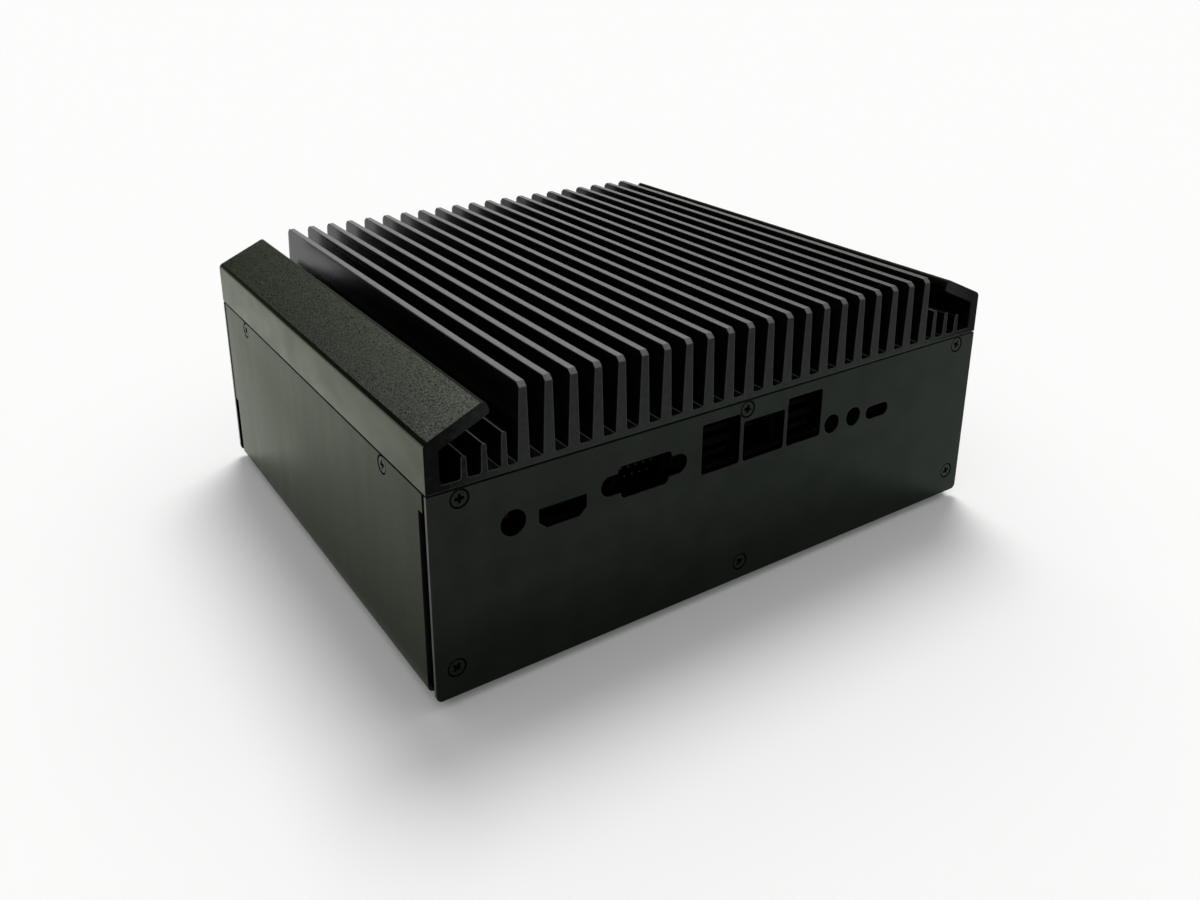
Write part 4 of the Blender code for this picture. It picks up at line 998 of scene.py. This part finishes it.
# Case screws: sixteen alike countersunk machine screws of blackened steel with a cross recess, each
# turned its own way. Six hold each panel and two hold each side to the lid, just under the face.
SCREW_L = 0.0080
HEAD_BREAK = 0.00010
CROSS_L = 0.0029
CROSS_W = 0.00092
CROSS_FOOT_L = 0.0017
CROSS_FOOT_W = 0.0005
CROSS_R = 0.00018
CROSS_DEPTH = 0.0013
SCREW_TURN = math.radians(38)
STEEL, SHADE_RING = range(2)


def cross_outline(length, width, radius):
    """Outline of a cross recess with softened arm ends."""
    half_l = length / 2
    half_w = width / 2
    arm = [(half_w, half_l, radius), (half_w, half_w, radius), (half_l, half_w, radius)]
    quarters = [(1, 0, 0, 1), (0, 1, -1, 0), (-1, 0, 0, -1), (0, -1, 1, 0)]
    return rounded([(a * u + b * v, c * u + d * v, r) for a, b, c, d in quarters for u, v, r in arm])


# Blackened steel with a thin oil sheen, finely mottled
blackened_steel = finish(
    "blackened_steel",
    shades=(grain(0.0005), (0.0080, 0.0098, 0.0078), (0.0170, 0.0195, 0.0168)),
    gloss=(grain(0.0008), 0.30, 0.42),
    relief=(grain(0.0003), 0.000004),
    Metallic=1.0,
)
# Radius, depth and finish down the screw, from the rim of its head to its end. The head's broken rim and
# the cone under it take the near-black coat, a painted shadow ring round the head
head_edge = broken_edge(HEAD_BREAK)
screw_steps = [(SCREW_HEAD_R - into, SCREW_SINK + down, SHADE_RING) for into, down in head_edge]
cone_end = SCREW_SINK + HEAD_BREAK + (SCREW_HEAD_R - SCREW_R)
screw_steps += [(SCREW_R, cone_end, SHADE_RING), (SCREW_R, SCREW_L, STEEL)]
screw_form = [(circle(radius, steps=ROUND_STEPS), -depth, look) for radius, depth, look in screw_steps]
recess = [
    (cross_outline(CROSS_L, CROSS_W, CROSS_R), -SCREW_SINK, STEEL),
    (cross_outline(CROSS_FOOT_L, CROSS_FOOT_W, CROSS_R / 2), -SCREW_SINK - CROSS_DEPTH, STEEL),
]
screw_looks = [blackened_steel, painted_shade_coat]
for place, (node, (seat, facing)) in enumerate(screw_seats.items()):
    screw = bmesh.new()
    drilled(screw, screw_form, [recess], along="z")
    turn = FACING[facing] @ Matrix.Rotation(SCREW_TURN * place, 4, "Z")
    screw_piece = made_piece(f"{node}_head", screw, screw_looks, at=CASE_CORNER + seat, turn=turn)
    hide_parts(node)


# Ports: nine connectors on the board's front edge, 2 mm behind the panel. Their folded steel shells are
# black plated, with black plastic tongues and gold-flashed contacts inside each mouth. All of them are
# darkened as painted shade, so that the mouths read as shadow.
PORT_EDGE = 0.0002
MOUTH_EDGE = 0.00012
MOUTH_R = 0.0003
MOUTH_WALL = 0.0008
MOUTH_FLOOR = 0.0030
CONTACT_H = 0.00048
DATA_MOUTH_H = 0.0058
LAN_MOUTH_W = 0.0121
LAN_MOUTH_H = 0.0080
LAN_LATCH_W = 0.0044
LAN_LATCH_H = 0.0022
LAN_CONTACTS = 8
LAN_CONTACT_W = 0.00045
LAN_CONTACT_BACK = 0.0030
LAN_PITCH = 0.00102
VIDEO_MOUTH_R = 0.0002
OVAL_WALL = 0.0013
TONGUE_SIDE = 0.0012
# Part of a pitch that is left over beside a row of contacts
TONGUE_SPARE = 0.5
# Tongue: its thickness, how far back it stands, its contacts, their width, how far back they stand, and
# whether they lie on its upper or its lower face
DATA_TONGUE = (0.0018, 0.0004, 4, 0.0010, 0.0012, -1)
VIDEO_TONGUE = (0.0012, 0.0008, 10, 0.0005, 0.0016, 1)
OVAL_TONGUE = (0.0007, 0.0006, 6, 0.0003, 0.0012, 1)
SERIAL_WALL = 0.0009
SERIAL_R = 0.0020
SERIAL_PITCH = 0.00277
SERIAL_ROW = 0.00284
SERIAL_PIN_R = 0.0005
SERIAL_PIN_BACK = 0.0014
SERIAL_PIN_STEPS = 12
SERIAL_JACK_X = 0.0125
SERIAL_JACK_R = 0.0026
SERIAL_JACK_SIDES = 6
SERIAL_JACK_L = 0.0016
SERIAL_JACK_BREAK = (0.0003, 0.0002)
PIN_STEPS = 24
DC_BORE_R = 0.0031
DC_PIN_R = 0.00105
DC_PIN_BACK = 0.0010
AUDIO_BORE_R = 0.0018
AUDIO_COLLAR_R = 0.0027
AUDIO_COLLAR_L = 0.0008
AUDIO_COLLAR_IN = 0.0001
SHELL, INSULATOR, CONTACT = range(3)


def drawn_out(shape, outline, front, back, look):
    """A small closed bar with its front edge broken, such as a tongue or a pin."""
    tip = drawn_in(outline, MOUTH_EDGE)
    rows = [(tip, front, look), (outline, front + MOUTH_EDGE, look), (outline, back, look)]
    drilled(shape, rows, look=look)


def contact_row(shape, count, pitch, width, centre, front, back):
    """A row of flat contacts, each a thin bar along y."""
    for number in range(count):
        x = centre[0] + (number - (count - 1) / 2) * pitch
        drawn_out(shape, rectangle(width, CONTACT_H, (x, centre[1])), front, back, CONTACT)


def tongue(shape, mouth_w, centre, front, deep, made):
    """A plastic tongue along the middle of a mouth, with a row of contacts on one face."""
    thick, back, contacts, contact_w, contact_back, side = made
    width = mouth_w - 2 * TONGUE_SIDE
    drawn_out(shape, rectangle(width, thick, centre), front + back, deep, INSULATOR)
    row = (centre[0], centre[1] + side * thick / 2)
    pitch = width / (contacts + TONGUE_SPARE)
    contact_row(shape, contacts, pitch, contact_w, row, front + contact_back, deep)


def port_block(shape, node, mouths):
    """A port's shell with its mouths. Returns the levels of its front and of the mouths' floors."""
    low, high = (end - CASE_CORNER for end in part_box(node))
    outline = rectangle(high.x - low.x, high.z - low.z, ((low.x + high.x) / 2, (low.z + high.z) / 2))
    shell = [(drawn_in(outline, into), low.y + down, SHELL) for into, down in broken_edge(PORT_EDGE)]
    deep = high.y - MOUTH_FLOOR
    holes = []
    for mouth in mouths:
        lip = [(drawn_in(mouth, -into), low.y + down, SHELL) for into, down in broken_edge(MOUTH_EDGE)]
        holes.append(lip + [(mouth, deep, SHELL)])
    drilled(shape, shell + [(outline, high.y, SHELL)], holes)
    return low.y, deep


def data_stack(shape, node, width, height, centre):
    """Two flat mouths, one over the other, each with a tongue and four contacts."""
    mouth_w = width - 2 * MOUTH_WALL
    levels = [(centre[0], centre[1] + side * height / 4) for side in (-1, 1)]
    mouths = [rectangle(mouth_w, DATA_MOUTH_H, level, MOUTH_R) for level in levels]
    front, deep = port_block(shape, node, mouths)
    for level in levels:
        tongue(shape, mouth_w, level, front, deep, DATA_TONGUE)


def network_jack(shape, node, width, height, centre):
    """A square mouth with a latch notch over it and eight spring wires along its floor."""
    low = centre[1] - (LAN_MOUTH_H + LAN_LATCH_H) / 2
    top = low + LAN_MOUTH_H
    right = [(LAN_MOUTH_W / 2, low), (LAN_MOUTH_W / 2, top)]
    right += [(LAN_LATCH_W / 2, top), (LAN_LATCH_W / 2, top + LAN_LATCH_H)]
    mouth = [(centre[0] + u, v) for u, v in right] + [(centre[0] - u, v) for u, v in reversed(right)]
    front, deep = port_block(shape, node, [mouth])
    row = (centre[0], low + CONTACT_H)
    contact_row(shape, LAN_CONTACTS, LAN_PITCH, LAN_CONTACT_W, row, front + LAN_CONTACT_BACK, deep)


def video_port(shape, node, width, height, centre):
    """A flat mouth with both lower corners cut off, and a tongue with its contacts."""
    mouth_w = width - 2 * MOUTH_WALL
    mouth_h = height - 2 * MOUTH_WALL
    front, deep = port_block(shape, node, [video_outline(mouth_w, mouth_h, centre, VIDEO_MOUTH_R)])
    tongue(shape, mouth_w, centre, front, deep, VIDEO_TONGUE)


def serial_port(shape, node, width, height, centre):
    """A D-shaped mouth round nine pins, with a hexagonal jack screw in each ear."""
    half_h = height / 2 - SERIAL_WALL
    top = SERIAL_TOP_W / 2 - SERIAL_WALL
    low = SERIAL_LOW_W / 2 - SERIAL_WALL
    corners = [(-top, half_h), (-low, -half_h), (low, -half_h), (top, half_h)]
    front, deep = port_block(shape, node, [about(centre, [(u, v, SERIAL_R) for u, v in corners])])
    for row, count in ((1, 5), (-1, 4)):
        z = centre[1] + row * SERIAL_ROW / 2
        for number in range(count):
            x = centre[0] + (number - (count - 1) / 2) * SERIAL_PITCH
            pin = circle(SERIAL_PIN_R, (x, z), SERIAL_PIN_STEPS)
            drawn_out(shape, pin, front + SERIAL_PIN_BACK, deep, CONTACT)
    start = front - SERIAL_JACK_L
    into, down = SERIAL_JACK_BREAK
    for side in (-1, 1):
        at = (centre[0] + side * SERIAL_JACK_X, centre[1])
        nut = circle(SERIAL_JACK_R, at, SERIAL_JACK_SIDES)
        bore = circle(SERIAL_JACK_R / 2, at, PIN_STEPS)
        rows = [(drawn_in(nut, into), start, SHELL)]
        rows += [(nut, start + down, SHELL), (nut, front + down, SHELL)]
        drilled(shape, rows, [[(bore, start, SHELL), (bore, front, SHELL)]])


def dc_jack(shape, node, width, height, centre):
    """A round bore with the centre pin standing in it."""
    front, deep = port_block(shape, node, [circle(DC_BORE_R, centre)])
    drawn_out(shape, circle(DC_PIN_R, centre, PIN_STEPS), front + DC_PIN_BACK, deep, CONTACT)


def audio_jack(shape, node, width, height, centre):
    """A small bore through a round collar that stands in the panel's hole."""
    bore = circle(AUDIO_BORE_R, centre)
    collar = circle(AUDIO_COLLAR_R, centre)
    front, _ = port_block(shape, node, [bore])
    start = front - AUDIO_COLLAR_L
    end = front + AUDIO_COLLAR_IN
    rows = [(drawn_in(collar, into), start + down, SHELL) for into, down in broken_edge(PORT_EDGE)]
    drilled(shape, rows + [(collar, end, SHELL)], [[(bore, start, SHELL), (bore, end, SHELL)]])


def oval_port(shape, node, width, height, centre):
    """An oval mouth with a thin tongue in its middle."""
    mouth_w = width - 2 * OVAL_WALL
    front, deep = port_block(shape, node, [oval(mouth_w, height - 2 * OVAL_WALL, centre)])
    tongue(shape, mouth_w, centre, front, deep, OVAL_TONGUE)


def black_moulding(name, dark, light):
    """Black moulded plastic with a fine spark-eroded grain."""
    return finish(
        name,
        shades=(grain(0.0010), dark, light),
        gloss=(grain(0.0020), 0.50, 0.64),
        relief=(grain(0.0004, octaves=3.0), 0.000008),
        IOR=1.06,
    )


# Black-plated steel of the shells, dull and a little uneven, and darkened past its own black as painted
# shade inside the cut-outs
shell_plating_and_shade = finish(
    "shell_plating_and_painted_shade",
    shades=(grain(0.0012), (0.0004, 0.0005, 0.0004), (0.0010, 0.0012, 0.0010)),
    gloss=(grain(0.0030), 0.48, 0.60),
    relief=(grain(0.0006), 0.000004),
    IOR=1.05,
)
# The tongues' black plastic, darker than the same moulding inside the case, as painted shade deep in the
# mouths
port_insulator_in_painted_shade = black_moulding("port_insulator_in_painted_shade", (0.0004, 0.0005, 0.0005), (0.0012, 0.0013, 0.0013))
# Thin gold on the contacts, with the nickel under it showing through in places, darkened nearly to black
# as painted shade deep in the mouths
gold_flash_in_painted_shade = finish(
    "gold_flash_in_painted_shade",
    shades=(grain(0.0010), (0.0080, 0.0062, 0.0031), (0.0148, 0.0115, 0.0057)),
    gloss=(grain(0.0006), 0.34, 0.46),
    Metallic=1.0,
)
# Each port's node, the name of its piece, and its maker
port_makers = {
    "dc_jack": ("dc_jack_connector", dc_jack),
    "hdmi_port": ("video_port_connector", video_port),
    "serial_port": ("serial_port_connector", serial_port),
    "usb_stack_left": ("data_stack_left_connector", data_stack),
    "lan_jack": ("network_jack_connector", network_jack),
    "usb_stack_right": ("data_stack_right_connector", data_stack),
    "audio_jack_left": ("audio_jack_left_connector", audio_jack),
    "audio_jack_right": ("audio_jack_right_connector", audio_jack),
    "usb_c_port": ("oval_port_connector", oval_port),
}
for node, width, height, past in CUTOUTS:
    port_shape = bmesh.new()
    piece_name, make_port = port_makers[node]
    make_port(port_shape, node, width, height, cutout_centre(node, height, past))
    port_piece = made_piece(piece_name, port_shape, [shell_plating_and_shade, port_insulator_in_painted_shade, gold_flash_in_painted_shade])
    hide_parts(node)


# Power button: a turned steel body with a broad bezel, blackened, held by a nut behind the panel. Its
# bright spun cap slides in the bore and springs back.
BUTTON_BODY_R = 0.0060
BUTTON_BODY_L = 0.0150
BUTTON_BEZEL_R = 0.0075
BUTTON_FACE = FIT + 0.0018
BUTTON_CAP_R = 0.0043
BUTTON_CAP_L = 0.0040
BUTTON_PROUD = 0.0010
BUTTON_TRAVEL = 0.0012
BUTTON_STEPS = 64
BEZEL_EDGE = 0.00045
BORE_EDGE = 0.00020
CAP_EDGE = 0.00045
CAP_DISH = 0.00022
CAP_DISH_RINGS = (0.8, 0.6, 0.4, 0.2)
SPUN_RINGS = 900.0
SPUN_WANDER = 1.5
SPUN_DETAIL = 3.0


def spun_rings(tree):
    """Pattern of the fine rings that spinning leaves round an axis."""
    place = tree.nodes.new("ShaderNodeTexCoord").outputs["Object"]
    sockets = {"Vector": place, "Scale": SPUN_RINGS, "Distortion": SPUN_WANDER, "Detail": SPUN_DETAIL}
    rings = wired(tree, tree.nodes.new("ShaderNodeTexWave"), sockets)
    rings.wave_type = "RINGS"
    rings.rings_direction = "Z"
    return rings.outputs["Fac"]


def corner_arc(r, z, size, steps=5):
    """(radius, z) points of a quarter round of that size about (r, z), from its top to its outside."""
    turns = [math.radians(90 - 90 * step / steps) for step in range(steps + 1)]
    return [(r + size * math.cos(turn), z + size * math.sin(turn)) for turn in turns]


# Bright stainless steel, spun
spun_steel = finish(
    "spun_steel",
    shades=(grain(0.0015), (0.36, 0.36, 0.37), (0.52, 0.52, 0.53)),
    gloss=(spun_rings, 0.24, 0.36),
    relief=(spun_rings, 0.000004),
    Metallic=1.0,
)
button_seat = CASE_CORNER + Vector((button_at.x, CASE_D, button_at.z))
cap_top = BUTTON_FACE + BUTTON_PROUD
cap_low = cap_top - BUTTON_CAP_L
bore_r = BUTTON_CAP_R + FIT
bore_end = cap_low - BUTTON_TRAVEL - FIT
body_profile = [(0.0, bore_end), (bore_r, bore_end), (bore_r, BUTTON_FACE - BORE_EDGE)]
body_profile += [(bore_r + BORE_EDGE, BUTTON_FACE)]
body_profile += corner_arc(BUTTON_BEZEL_R - BEZEL_EDGE, BUTTON_FACE - BEZEL_EDGE, BEZEL_EDGE)
body_profile += [(BUTTON_BEZEL_R, FIT), (BUTTON_BODY_R, FIT)]
body_profile += [(BUTTON_BODY_R, -BUTTON_BODY_L), (0.0, -BUTTON_BODY_L)]
button_body = bmesh.new()
turned(button_body, body_profile, BUTTON_STEPS)
button_body_piece = made_piece(
    "button_bezel_body", button_body, [blackened_steel], at=button_seat, turn=FACING["back"]
)
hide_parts("power_button_body")

dish_r = BUTTON_CAP_R - CAP_EDGE
cap_profile = [(0.0, cap_low), (BUTTON_CAP_R, cap_low)]
cap_profile += corner_arc(dish_r, cap_top - CAP_EDGE, CAP_EDGE)[::-1]
cap_profile += [(dish_r * part, cap_top - CAP_DISH * (1 - part * part)) for part in CAP_DISH_RINGS]
cap_profile += [(0.0, cap_top - CAP_DISH)]
button_cap = bmesh.new()
turned(button_cap, cap_profile, BUTTON_STEPS)
button_cap_piece = made_piece(
    "button_spun_cap", button_cap, [spun_steel], "power_button", button_seat, FACING["back"]
)
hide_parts("power_button_cap")


# Light pipes: two clear acrylic rods with domed ends and a collar behind the panel. They carry the power
# and the drive light out from the board.
PIPE_R = 0.0015
PIPE_DOME = 0.0005
PIPE_DOME_STEPS = 6
PIPE_COLLAR_R = 0.0024
PIPE_COLLAR_T = 0.0015
PIPE_TAIL = 0.0040
PIPE_STEPS = 32

clear_acrylic = finish(
    "clear_acrylic",
    shades=(grain(0.0010), (0.66, 0.69, 0.70), (0.80, 0.83, 0.84)),
    gloss=(grain(0.0005), 0.12, 0.22),
    IOR=1.49,
    Transmission_Weight=0.85,
)
collar_top = -PANEL_T - FIT
collar_low = collar_top - PIPE_COLLAR_T
pipe_end = collar_top - PIPE_TAIL
dome_turns = [math.pi / 2 / PIPE_DOME_STEPS * step for step in range(PIPE_DOME_STEPS + 1)]
pipe_profile = [(PIPE_R * math.sin(turn), PIPE_DOME * math.cos(turn)) for turn in dome_turns]
pipe_profile += [(PIPE_R, collar_top), (PIPE_COLLAR_R, collar_top), (PIPE_COLLAR_R, collar_low)]
pipe_profile += [(PIPE_R, collar_low), (PIPE_R, pipe_end), (0.0, pipe_end)]
for number, pipe_at in enumerate(pipes_at, 1):
    pipe = bmesh.new()
    turned(pipe, pipe_profile, PIPE_STEPS)
    pipe_seat = CASE_CORNER + Vector((pipe_at.x, CASE_D, pipe_at.z))
    pipe_name = f"clear_light_pipe_{number}"
    pipe_piece = made_piece(pipe_name, pipe, [clear_acrylic], at=pipe_seat, turn=FACING["back"])
    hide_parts(f"light_pipe_{number}")


# Feet: four round rubber buttons stuck under the tray. Each has a soft outer edge and a shallow dish in
# its sole, so that it stands on a ring.
FOOT_R = 0.0070
FOOT_TOP = 0.0027
FOOT_EDGE = 0.0008
FOOT_DISH_R = 0.0032
FOOT_DISH = 0.0005
FOOT_TOP_EDGE = 0.00025
FOOT_STEPS = 64

rubber = finish(
    "foot_rubber",
    shades=(grain(0.0020), (0.0110, 0.0112, 0.0112), (0.0190, 0.0193, 0.0193)),
    gloss=(grain(0.0012), 0.66, 0.80),
    relief=(grain(0.0005, octaves=3.0), 0.00002),
    IOR=1.35,
)
foot_profile = [(0.0, FOOT_DISH), (FOOT_DISH_R, FOOT_DISH), (FOOT_DISH_R + FOOT_DISH, 0.0)]
foot_profile += [(r, 2 * FOOT_EDGE - z) for r, z in corner_arc(FOOT_R - FOOT_EDGE, FOOT_EDGE, FOOT_EDGE)]
foot_profile += [(FOOT_R, FOOT_TOP - FOOT_TOP_EDGE), (FOOT_R - FOOT_TOP_EDGE, FOOT_TOP), (0.0, FOOT_TOP)]
for number in range(1, 5):
    foot = bmesh.new()
    turned(foot, foot_profile, FOOT_STEPS)
    foot_at = middle_of(f"foot_{number}")
    foot_seat = CASE_CORNER + Vector((foot_at.x, foot_at.y, 0.0))
    foot_piece = made_piece(f"rubber_foot_{number}", foot, [rubber], at=foot_seat)
    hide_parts(f"foot_{number}")


# Inside the case: the mainboard with its cards, sockets and cooling block, hung under the lid on brass
# standoffs. These keep the frame's shapes, each in its own material.
TRACK_SOCKETS = {
    "Scale": 90.0,
    "Mortar Size": 0.018,
    "Brick Width": 0.7,
    "Row Height": 0.11,
    "Color1": (0.0030, 0.0036, 0.0033, 1.0),
    "Color2": (0.0042, 0.0050, 0.0046, 1.0),
    "Mortar": (0.0085, 0.0098, 0.0090, 1.0),
}


def copper_tracks(tree):
    """Pattern of the copper tracks that stand up under a board's mask, which it also colours."""
    place = tree.nodes.new("ShaderNodeTexCoord").outputs["Object"]
    tracks = wired(tree, tree.nodes.new("ShaderNodeTexBrick"), {"Vector": place, **TRACK_SOCKETS})
    wired(tree, tree.nodes["Principled BSDF"], {"Base Color": tracks.outputs["Color"]})
    return tracks.outputs["Fac"]


def bare_metal(name, dark, light, smooth, rough, stretch=(1.0, 1.0, 1.0)):
    """Bare or plated metal, clouded a little and finely marked by its tool."""
    marks = grain(0.0006, stretch)
    return finish(
        name,
        shades=(grain(0.0030), dark, light),
        gloss=(marks, smooth, rough),
        relief=(marks, 0.000003),
        Metallic=1.0,
    )


solder_mask = finish(
    "solder_mask", shades=None, gloss=(grain(0.0030), 0.34, 0.46), relief=(copper_tracks, 0.00002)
)
chip_carrier = finish(
    "chip_carrier",
    shades=(grain(0.0008), (0.012, 0.045, 0.026), (0.024, 0.074, 0.042)),
    gloss=(grain(0.0020), 0.36, 0.48),
    IOR=1.45,
)
zinc_plate = bare_metal("zinc_plate", (0.46, 0.46, 0.45), (0.60, 0.60, 0.58), 0.26, 0.38)
turned_brass = bare_metal("turned_brass", (0.48, 0.34, 0.13), (0.62, 0.45, 0.20), 0.24, 0.36)
nickel_plate = bare_metal("nickel_plate", (0.50, 0.49, 0.46), (0.62, 0.61, 0.58), 0.18, 0.30)
milled_aluminium = bare_metal(
    "milled_aluminium", (0.54, 0.55, 0.56), (0.66, 0.67, 0.68), 0.30, 0.42, stretch=(40.0, 1.0, 1.0)
)
socket_moulding = black_moulding("socket_moulding", (0.0100, 0.0100, 0.0104), (0.0170, 0.0170, 0.0176))
four = range(1, 5)
inner_looks = {
    solder_mask: ["mainboard", "memory_module", "ssd_card"],
    chip_carrier: ["processor"],
    milled_aluminium: ["cooling_block"],
    turned_brass: ["ssd_post", *(f"board_standoff_{number}" for number in four)],
    zinc_plate: [
        "ssd_screw",
        "cooling_block_screw_1",
        "cooling_block_screw_2",
        *(f"board_screw_{number}" for number in four),
    ],
    nickel_plate: ["coin_cell", "power_button_nut"],
    socket_moulding: ["memory_socket", "ssd_socket", "coin_cell_holder"],
}
for look, nodes in inner_looks.items():
    for node in nodes:
        frame["nodes"][node].data.materials.clear()
        frame["nodes"][node].data.materials.append(look)
